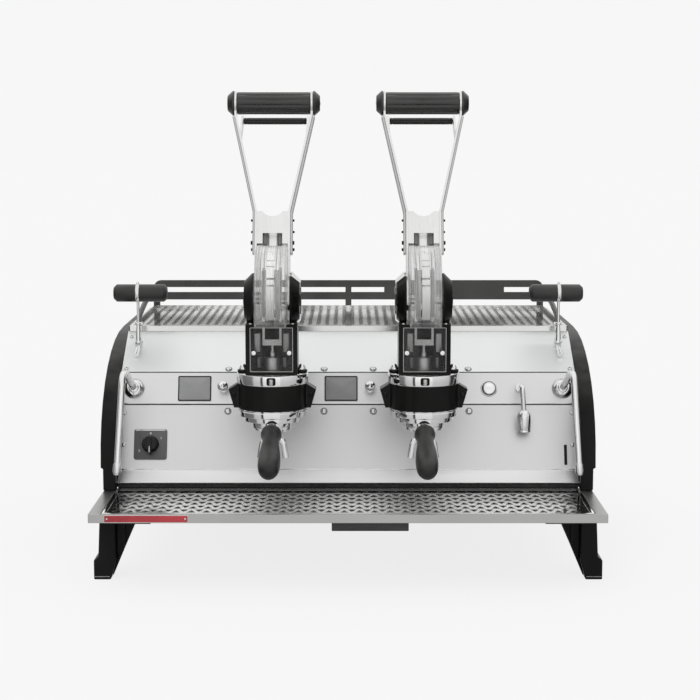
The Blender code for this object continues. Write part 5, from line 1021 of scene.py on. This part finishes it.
# Towers.
# A black-painted casting bolts down on each flange and carries the lever. Its front is open behind a thin
# window with a bright edging. Grey guide blocks and darker bars stand inside, and two bright cap screws hold
# the window.
WINDOW_SCREW, ROOF_SCREW = (0.0294, -0.0394, 0.3985), (0.0345, -0.0320, 0.4458)
window_pane, tree, sockets = begun("window_pane", 0.05)
grime = noise(tree, 30.0, (1, 1, 0.3))
tree.links.new(ramp(tree, grime, [(0.3, 0.07), (0.8, 0.15)]), sockets["Base Color"])
edge_on = add(tree, "LayerWeight", {"Blend": 0.22})
film = spread(tree, grime, 0.3, 0.8, 0.16, 0.28)
tree.links.new(maths(tree, "MAXIMUM", film, edge_on.outputs["Fresnel"]), sockets["Alpha"])
streaks = noise(tree, 1.0, (420, 420, 14))
tree.links.new(spread(tree, streaks, 0, 1, 0.03, 0.12), sockets["Roughness"])
dull_steel = metal("dull_steel", (0.26, 0.26, 0.26), 0.40, 50.0, 0.08, 0.85)
guide_steel = metal("guide_steel", (0.62, 0.62, 0.61), 0.34, 50.0, 0.08, 0.85, (90, 700, 700), 0.00002)
for name, side, axis in GROUPS:
    worked(f"{name}_group_tower", f"{name}_tower_casting", band_paint, width=0.0011,
           steps=2)
    box = box_of(f"{name}_tower_window")
    size, middle = box[1] - box[0], (box[0] + box[1]) / 2
    pane = slab(rectangle(size[0], size[2], 0.0015, 4), -0.0015, 0.0015, 0.0004)
    skin(f"{name}_window_pane", placed(pane, middle, FORWARD), window_pane,
         node=f"{name}_tower_window")
    inner = rectangle(size[0] - 0.0016, size[2] - 0.0016, 0.0010, 4)
    edging = border(rectangle(size[0], size[2], 0.0015, 4), inner, 0.0010, 0.0018, 0.0002)
    skin(f"{name}_window_edging", placed(edging, middle, FORWARD), polished,
         loop=True)
    for part, low, high, wide, steel in (("blocks", 0.3985, 0.4300, 0.0110, guide_steel),
                                         ("bars", 0.3720, 0.3900, 0.0060, dull_steel)):
        block = slab(rectangle(wide, 0.016, 0.0015, 4), low, high, 0.0008)
        guides = [block + axis + (s * (0.0185 + wide / 2), -0.020, 0) for s in (-1, 1)]
        skin(f"{name}_guide_{part}", guides, steel)
    skin(f"{name}_window_screws", screws(mirrored(axis, WINDOW_SCREW), FORWARD, 0.0050, 0.0036), chrome)
    skin(f"{name}_roof_screws", screws(mirrored(axis, ROOF_SCREW), (0, 0, 1), 0.0030, 0.0018), screw_steel)

# Housing trims.
# Each pair of shaft housings has a bright pressed rim, which wraps the outer end of the housing that faces
# the machine's middle, from its top round the back to its foot. Round caps close the bearings.
TRIM = np.array([(0.0272, 0.0458), (0.0272, 0.0474), (0.0334, 0.0474), (0.0482, 0.0334), (0.0482, 0.0240),
                 (0.0466, 0.0240), (0.0466, 0.0326), (0.0328, 0.0458)])
TRIM_START, TRIM_END = 62, 290


def swept(axis, section, start, end, steps=24):
    """A closed section of (x, radius) points carried round the lever's shaft from one angle to another.

    The angle is measured from straight forward (-Y) up to straight up (+Z).
    """
    turn = np.radians(np.linspace(start, end, steps))
    section = np.asarray(section, float)
    grid = np.empty((steps, len(section), 3))
    grid[..., 0] = axis[0] + section[None, :, 0]
    grid[..., 1] = axis[1] - np.cos(turn)[:, None] * section[None, :, 1]
    grid[..., 2] = PIVOT + np.sin(turn)[:, None] * section[None, :, 1]
    return grid


def paired(shape, middle, x=0.0, across=(0, 1, 0)):
    """A shape made along z, laid outwards along x on both sides of a middle."""
    return [placed(shape, middle + (s * x, 0, 0), (s, 0, 0), across) for s in (-1, 1)]


for name, side, axis in GROUPS:
    trim = swept(axis, TRIM * (-side, 1), TRIM_START, TRIM_END, 48)
    skin(f"{name}_housing_trim", trim, polished)
    cover = turned([(0.0005, 0.0456), (0.0090, 0.0456), (0.0105, 0.0466), (0.0105, 0.0474), (0.0090, 0.0482),
                    (0.0040, 0.0484)], 40)
    skin(f"{name}_bearing_caps", paired(cover, axis + (0, 0, PIVOT)), band_paint)

# Cam covers.
# A clear moulded drum stands between the housings. Inside it run a pale jointed track with dark gaps, two
# pairs of thin guide wires and two grey rails, which show through as upright streaks.
clear_plastic, tree, sockets = begun("clear_plastic", 0.06)
draw = noise(tree, 1.0, (520, 12, 12), detail=3.0)
tree.links.new(ramp(tree, draw, [(0.25, (0.40, 0.40, 0.40)), (0.75, (0.82, 0.82, 0.81))]),
               sockets["Base Color"])
edge_on = add(tree, "LayerWeight", {"Blend": 0.35})
thick = spread(tree, edge_on.outputs["Facing"], 0.15, 0.95, 0.17, 0.74)
haze = spread(tree, draw, 0.35, 0.70, -0.08, 0.10)
tree.links.new(maths(tree, "ADD", thick, haze), sockets["Alpha"])
rubs = use(tree, handled, Patch=40.0, Grain=1500.0)
tree.links.new(spread(tree, rubs["Patches"], 0, 1, 0.04, 0.16), sockets["Roughness"])
track_white = coated("track_white", (0.66, 0.66, 0.65), (0.4, 0.4, 0.4), 0.35, 900.0, 0.00003, wear=0.2,
                     dust=0.0)
wire_grey = metal("wire_grey", (0.30, 0.30, 0.30), 0.30, 80.0, 0.1, 0.8)
LINK = np.array([(-0.0066, 0.0846), (0.0066, 0.0846), (0.0066, 0.0868), (0.0060, 0.0874), (-0.0060, 0.0874),
                 (-0.0066, 0.0868)])
LINKS = ((103, 91, 0.0), (89.5, 80, 0.5), (78.5, 71, 0.0), (69.5, 54, 0.3), (52, 45, 0.1), (43, 30, 0.0),
         (28, 22, 0.7), (20, -16, 0.2))


def oblong(x, half, low, high):
    """A plain section for the sweep: half its width to each side of x, between two radii."""
    return [(x - half, low), (x + half, low), (x + half, high), (x - half, high)]


for name, side, axis in GROUPS:
    worked(f"{name}_cam_cover", f"{name}_clear_drum", clear_plastic, width=0.0008)
    blocks = [swept(axis, LINK - (0, 0.0010 * deep), start, end, 10) for start, end, deep in LINKS]
    skin(f"{name}_track_links", blocks, track_white)
    wires = [swept(axis, oblong(x, 0.0007, 0.0862, 0.0877), start, -16, 30)
             for x, start in ((-0.0160, 84), (-0.0098, 96), (0.0098, 100), (0.0160, 88))]
    skin(f"{name}_track_wires", wires, wire_grey)
    rails = [swept(axis, oblong(s * 0.0115, 0.0030, 0.0700, 0.0760), 44, -16, 20) for s in (-1, 1)]
    skin(f"{name}_track_rails", rails, wire_grey)

# Cams.
# The cam is a ground steel plate fixed on the lever's shaft, with a bright hub ring on each face. Its rim
# lifts the roller of the piston rod as the lever comes down.
HUB_OUT = 0.0105
for name, side, axis in GROUPS:
    worked(f"{name}_lever_cam", f"{name}_cam_plate", ground_steel, f"{name}_lever",
           width=0.0008)
    hub = turned([(0.0085, 0.0), (0.0150, 0.0), (0.0150, 0.0008), (0.0142, 0.0014), (0.0085, 0.0014)], 36)
    skin(f"{name}_cam_hubs", paired(hub, axis + (0, 0, PIVOT), HUB_OUT), polished, f"{name}_lever",
         loop=True)

# Levers.
# A polished aluminium fork with a bridge block, whose window shows two grey lugs and a bright tongue. Two
# fingers reach back to a thin bar. The fluted black grip has a bright ring and a chamfered cap at each end, a
# rib of the same aluminium, painted darker as shade, runs up the outside of each arm, and small black pins
# lock the arms to the bridge.
BACK, RISE = np.array([0.0, 0.951057, -0.309017]), np.array([0.0, 0.309017, 0.951057])
GRIP_UP, FLUTE_DEPTH, BRIDGE_WINDOW = 0.3440, 0.0018, (0.0938, 0.1122)
BAR_BACK, BAR_UP, FORK_HALF, PINS_OUT = 0.057, 0.331, 0.0296, 0.0337
PINS = ((-0.004, 0.136, 0.0020), (0.004, 0.118, 0.0020), (-0.005, 0.097, 0.0034), (0.006, 0.088, 0.0026))
RIB_UPS = (0.0790, 0.0800, 0.1100, 0.1500, 0.2100, 0.2700, 0.3170, 0.3180)


def on_lever(axis, x, back, up):
    """A point in the leaning lever's own frame: x across, back from its plane, up its arms from the shaft."""
    return axis + np.array([x, 0.0, PIVOT]) + BACK * back + RISE * up


fork_metal = metal("fork_metal", (0.88, 0.88, 0.875), 0.20, 20.0, 0.07, 0.93, (900, 60, 60), 0.000006,
                   streak=0.03)
# The ribs are the fork's aluminium in a darker copy, painted shade.
rib_metal_painted_shade = metal("rib_metal_painted_shade", (0.60, 0.60, 0.595), 0.30, 20.0, 0.07, 0.93, (900, 60, 60), 0.000006,
                  streak=0.03)
lug_grey = metal("lug_grey", (0.20, 0.20, 0.20), 0.40, 40.0, 0.08, 0.85)
grip_black = coated("grip_black", (0.012, 0.012, 0.0115), (0.16, 0.16, 0.155), 0.30, 1300.0, 0.00004,
                    wear=0.35, shine=0.6, coat=0.10)
handle_black = coated("handle_black", (0.0075, 0.0075, 0.0072), (0.16, 0.16, 0.155), 0.36, 1300.0, 0.00005,
                      wear=0.35, shine=0.40)
pin_black = coated("pin_black", (0.005, 0.005, 0.005), (0.2, 0.2, 0.2), 0.35, 1500.0, 0.00002, shine=0.2)
for name, side, axis in GROUPS:
    body = f"{name}_lever"
    worked(f"{name}_lever_yoke", f"{name}_lever_fork", fork_metal, body, width=0.0007)
    turn = np.linspace(0, 2 * np.pi, 144, endpoint=False)
    stations = [(-0.0630, 0.0095), (-0.0630, 0.0150), (-0.0626, 0.0176), (-0.0618, 0.0187), (-0.0606, 0.0190),
                (-0.0400, 0.0188), (0.0, 0.0188), (0.0400, 0.0188), (0.0606, 0.0190), (0.0618, 0.0187),
                (0.0626, 0.0176), (0.0630, 0.0150), (0.0630, 0.0095)]
    along, radius = np.array(stations).T
    flute = FLUTE_DEPTH * np.abs(np.cos(6 * turn)) ** 6
    grid = np.empty((len(stations), len(turn), 3))
    fade = np.clip((0.0612 - np.abs(along)) / 0.006, 0, 1)
    reach = radius[:, None] - flute[None] * fade[:, None]
    grid[..., 0], grid[..., 1], grid[..., 2] = reach * np.cos(turn), reach * np.sin(turn), along[:, None]
    centre = on_lever(axis, 0, 0, GRIP_UP)
    parts = [placed(grid, centre, (1, 0, 0), BACK)]
    cap = turned([(0.0090, 0.0640), (0.0090, 0.0672), (0.0200, 0.0672), (0.0210, 0.0677), (0.0213, 0.0686),
                  (0.0212, 0.0698), (0.0134, 0.0783), (0.0124, 0.0789), (0.0060, 0.0790), (0.0052, 0.0780)],
                 72)
    parts += paired(cap, centre, across=BACK)
    skin(f"{name}_fluted_grip", parts, grip_black, body, node=f"{name}_lever_grip")
    ring = turned([(0.0160, 0.0629), (0.0197, 0.0629), (0.0202, 0.0634), (0.0202, 0.0664), (0.0197, 0.0669),
                   (0.0160, 0.0669)], 72)
    skin(f"{name}_grip_rings", paired(ring, centre, across=BACK), polished, body, loop=True)
    heads = []
    for s in (-1, 1):
        heads += screws([centre + (s * 0.0781, 0, 0)], (s, 0, 0), 0.0044, 0.0016, across=BACK)
    skin(f"{name}_grip_screws", heads, screw_steel, body)
    bar_profile = [(0.0030, -0.0550), (0.0050, -0.0546), (0.00575, -0.0534), (0.00575, -0.0505),
                   (0.0053, -0.0500), (0.0053, -0.0492), (0.00575, -0.0487), (0.00575, 0.0487),
                   (0.0053, 0.0492), (0.0053, 0.0500), (0.00575, 0.0505), (0.00575, 0.0534), (0.0050, 0.0546),
                   (0.0030, 0.0550)]
    bar = placed(turned(bar_profile, 32), on_lever(axis, 0, BAR_BACK, BAR_UP), (1, 0, 0), BACK)
    skin(f"{name}_finger_bar", bar, moulded, body, node=f"{name}_lever_rear_bar")
    pins = []
    for s in (-1, 1):
        for back, up, size in PINS:
            shape = turned([(size, -0.0004), (size, 0.0022), (size * 0.8, 0.0030), (size * 0.3, 0.0032)], 20)
            pins.append(placed(shape, on_lever(axis, s * PINS_OUT, back, up), (s, 0, 0), BACK))
    skin(f"{name}_fork_pins", pins, pin_black, body)
    ribs = []
    for s in (-1, 1):
        section = rectangle(0.0046, 0.0170, 0.0014, 4)
        rib = np.empty((len(RIB_UPS), len(section), 3))
        for ring, up in zip(rib, RIB_UPS):
            out = FORK_HALF + 0.0371 * np.clip((up - 0.150) / 0.1719, 0, 1)
            ring[:] = [on_lever(axis, s * (out + 0.0020 + x), back, up) for x, back in section]
        ribs.append(rib)
    skin(f"{name}_fork_ribs", ribs, rib_metal_painted_shade, body)
    lug = slab(rectangle(0.0065, 0.0150, 0.0010, 3), *BRIDGE_WINDOW, 0.0004)
    lugs = [placed(lug, on_lever(axis, s * 0.01275, 0.0015, 0), RISE) for s in (-1, 1)]
    skin(f"{name}_bridge_lugs", lugs, lug_grey, body)
    tongue = slab(rectangle(0.0185, 0.0040, 0.0010, 3), *BRIDGE_WINDOW, 0.0004)
    skin(f"{name}_bridge_tongue", placed(tongue, on_lever(axis, 0, 0.0070, 0), RISE), fork_metal, body)
    washer = turned([(0.0100, 0.0), (0.0160, 0.0), (0.0160, 0.0010), (0.0152, 0.0016), (0.0100, 0.0016)], 40)
    washers = paired(washer, on_lever(axis, 0, 0, 0), FORK_HALF, BACK)
    skin(f"{name}_shaft_washers", washers, polished, body, loop=True)

# Portafilters.
# A chromed brass cup locks into the group with two lugs. It has a twin spout on a hexagon boss below, a
# stem with a ferrule, and a moulded black handle with a wide collar, a neck and a long swelling body.
HANDLE_START = np.array([0.0, -0.0559142, 0.2683985])
HANDLE_WAY = np.array([0.0, -0.931056, -0.364876])
HANDLE_RADIUS, HANDLE_LENGTH = 0.0183, 0.130
SPOUT_X, SPOUT_Z = 0.0215, 0.2150
HANDLE_LINE = [(0.0, 0.60), (0.006, 0.76), (0.016, 0.87), (0.03, 0.925), (0.06, 0.945), (0.085, 0.94),
               (0.105, 0.91), (0.13, 0.86), (0.16, 0.80), (0.19, 0.755), (0.22, 0.74), (0.27, 0.755),
               (0.33, 0.79), (0.40, 0.845), (0.50, 0.92), (0.60, 0.97), (0.70, 1.0), (0.78, 0.995),
               (0.86, 0.95), (0.91, 0.87), (0.95, 0.75), (0.98, 0.57), (0.995, 0.36), (1.0, 0.15)]
cup_profile = [(0.0100, 0.2613), (0.0235, 0.2615), (0.0300, 0.2628), (0.0345, 0.2655), (0.0360, 0.2692),
               (0.0360, 0.2720), (0.0356, 0.2726), (0.0360, 0.2732), (0.0360, 0.2975), (0.0356, 0.2984),
               (0.0350, 0.2987), (0.0292, 0.2987), (0.0285, 0.2983), (0.0285, 0.2724), (0.0280, 0.2719),
               (0.0020, 0.2718)]
for name, side, axis in GROUPS:
    body = f"{name}_portafilter"
    lugs = [strip_box((s * 0.0320 - 0.0080, -0.0080, 0.2883), (s * 0.0320 + 0.0080, 0.0080, 0.2933), 0.0006)
            for s in (-1, 1)]
    spout = tube(softened([(-SPOUT_X, 0, SPOUT_Z), (-0.0172, 0, 0.2440), (0, 0, 0.2530), (0.0172, 0, 0.2440),
                           (SPOUT_X, 0, SPOUT_Z)], 0.0085, 8), 0.0060, 28)
    boss = turned([(0.0060, 0.2480), (0.0082, 0.2486), (0.0086, 0.2510), (0.0086, 0.2552), (0.0100, 0.2556),
                   (0.0108, 0.2564), (0.0108, 0.2606), (0.0100, 0.2616), (0.0080, 0.2620)], 36)
    boss = hexed(boss, 4, 8)
    stem = tube(softened([(0, -0.0300, 0.2715), (0, -0.0480, 0.2715), HANDLE_START + HANDLE_WAY * 0.001],
                         0.004, 5), 0.0062, 28)
    ferrule = placed(turned([(0.0062, -0.0052), (0.0090, -0.0050), (0.0096, -0.0042), (0.0096, -0.0006),
                             (0.0090, -0.0001), (0.0062, 0.0)], 40), HANDLE_START, HANDLE_WAY)
    parts = [part + axis for part in (turned(cup_profile, 72), *lugs, spout, boss, stem, ferrule)]
    skin(f"{name}_filter_cup", parts, head_chrome, body, sharp=30, node=f"{name}_portafilter_body")
    line = np.array([(radius * HANDLE_RADIUS, share * HANDLE_LENGTH) for share, radius in HANDLE_LINE])
    skin(f"{name}_filter_handle", placed(turned(line, 64), HANDLE_START + axis, HANDLE_WAY), handle_black,
         body, node=f"{name}_portafilter_handle")

# Drip tray.
# The basin is a welded stainless box whose front shows as a grey brushed band. A lift-out grate with rows of
# punched triangles lies on a ledge inside its rim, painted darker towards the back as the shade and dark
# reflection under the machine, and a shallow sump drains it.
tray_steel = metal("tray_steel", (0.50, 0.50, 0.49), 0.32, 9.0, 0.05, 0.95, (5, 1300, 1300), 0.000005,
                   streak=0.015)
worked("drip_basin", "tray_rim", tray_steel, width=0.0007)
basin_steel = metal("basin_steel", (0.50, 0.50, 0.49), 0.38, 14.0, 0.10, 0.85, (60, 700, 700), 0.00001,
                    dust=0.25)
painted("basin_floor", basin_steel)
painted("drip_sump", basin_steel)
grate_steel = metal("grate_steel", (0.98, 0.98, 0.97), 0.07, 12.0, 0.05, 0.93)
# Painted shade and reflection: the grate's colour darkens towards the back, under the machine.
tree = grate_steel.node_tree
shader = tree.nodes["Principled BSDF"].inputs["Base Color"]
depth = add(tree, "SeparateXYZ", {"Vector": add(tree, "TexCoord").outputs["Object"]}).outputs["Y"]
back_painted_shade = ramp(tree, spread(tree, depth, -0.305, -0.125),
               [(0.34, 1.0), (0.44, 0.55), (0.60, 0.33), (1.0, 0.33)])
tree.links.new(blended(tree, 1.0, shader.links[0].from_socket, back_painted_shade, "MULTIPLY"), shader)
grate_box = box_of("drip_grate")
GRATE_BASE, GRATE_RISE, GRATE_ROWS, GRATE_COUNT = 0.0252, 0.0295, 6, 62
slant = math.hypot(GRATE_BASE / 2, GRATE_RISE)
inset = GRATE_BASE * GRATE_RISE / (GRATE_BASE + 2 * slant)
sides = np.array([(0, -1), (GRATE_RISE / slant, GRATE_BASE / 2 / slant),
                  (-GRATE_RISE / slant, GRATE_BASE / 2 / slant)])
corners = np.array([(-GRATE_BASE / 2, -inset), (GRATE_BASE / 2, -inset), (0, GRATE_RISE - inset)])
angles = np.concatenate([np.arctan2(corners[:, 1], corners[:, 0]), np.radians(np.arange(12) * 30 + 7)])
angles = np.sort(angles % (2 * np.pi))
toward = np.maximum(sides @ np.stack([np.cos(angles), np.sin(angles)]), 0)
hole_reach = ((toward / (inset * 0.60)) ** 9).sum(0) ** (-1 / 9)
half_span = (GRATE_COUNT + 1) * GRATE_BASE / 4
sheet_top = grate_box[1, 2] - 0.0004
low_y = grate_box[:, 1].mean() - GRATE_ROWS * GRATE_RISE / 2
cells, fill = [], []
for row in range(GRATE_ROWS):
    foot = low_y + row * GRATE_RISE
    k = np.arange(GRATE_COUNT)
    x = -half_span + (k + 1) * GRATE_BASE / 2
    upright, hung = x[0::2], x[1::2]
    shape = (angles, sides, hole_reach)
    cells.append(pierced(np.column_stack([upright, np.full(len(upright), foot + inset)]), shape,
                         [inset - CELL_GAP] * 3, sheet_top, SHEET))
    other = pierced(np.column_stack([hung, np.full(len(hung), -foot - GRATE_RISE + inset)]), shape,
                    [inset - CELL_GAP] * 3, sheet_top, SHEET)
    other[..., 1] *= -1
    cells.append(other)
    for s in (-1, 1):
        edge = s * half_span
        three = np.array([(edge, foot), (edge - s * GRATE_BASE / 2, foot + (0 if s > 0 else GRATE_RISE)),
                          (edge, foot + GRATE_RISE)])
        fill.append(np.stack([level(three, z) for z in (sheet_top - SHEET, sheet_top)]))
high_y = low_y + GRATE_ROWS * GRATE_RISE
(gx0, gy0, gz0), (gx1, gy1, gz1) = grate_box + ((0.0004, 0, 0), (-0.0004, 0, 0))
frame_parts = surround((gx0, gy0, gx1, gy1), (-half_span, low_y, half_span, high_y), gz0, gz1, 0.0006)
skin("grate_sheet", cells, grate_steel, "grate", loop=True, node="drip_grate")
skin("grate_rim", frame_parts + fill, grate_steel, "grate", node="drip_grate")

# Badge and data plate.
# A bare red enamelled plate with a thin bright edge is riveted to the left of the tray's front, and a bare
# black plate on a folded bracket hangs under the basin's floor.
red_enamel = coated("red_enamel", (0.34, 0.042, 0.050), (0.55, 0.45, 0.42), 0.30, 1200.0, 0.00002, wear=0.4,
                    shine=0.3)
BADGE = np.array([-0.3300, -0.320356, 0.1353])
plate = slab(rectangle(0.1360, 0.0110, 0.0010, 4), -0.0002, 0.0016, 0.0004)
skin("front_badge", placed(plate, BADGE, FORWARD), red_enamel)
edge = border(rectangle(0.1380, 0.0124, 0.0014, 4), rectangle(0.1358, 0.0108, 0.0010, 4), -0.0002, 0.0012,
              0.0003)
skin("front_badge_edge", placed(edge, BADGE, FORWARD), polished, loop=True)
rivet = turned([(0.0017, 0.0), (0.0016, 0.0008), (0.0011, 0.0013), (0.0004, 0.0015)], 20)
rivets = [placed(rivet, BADGE + (s * 0.0640, -0.0014, 0), FORWARD) for s in (-1, 1)]
skin("front_badge_rivets", rivets, screw_steel)
face = slab(rectangle(0.1270, 0.0180, 0.0012, 4), -0.0008, 0.0007, 0.0003)
hung = placed(face, (0.0365, -0.2975, 0.1186), FORWARD)
flange = slab(rectangle(0.1270, 0.0096, 0.0010, 4), 0.1265, 0.1279) + np.array([0.0365, -0.2934, 0.0])
skin("data_plate", [hung, flange], plate_black)
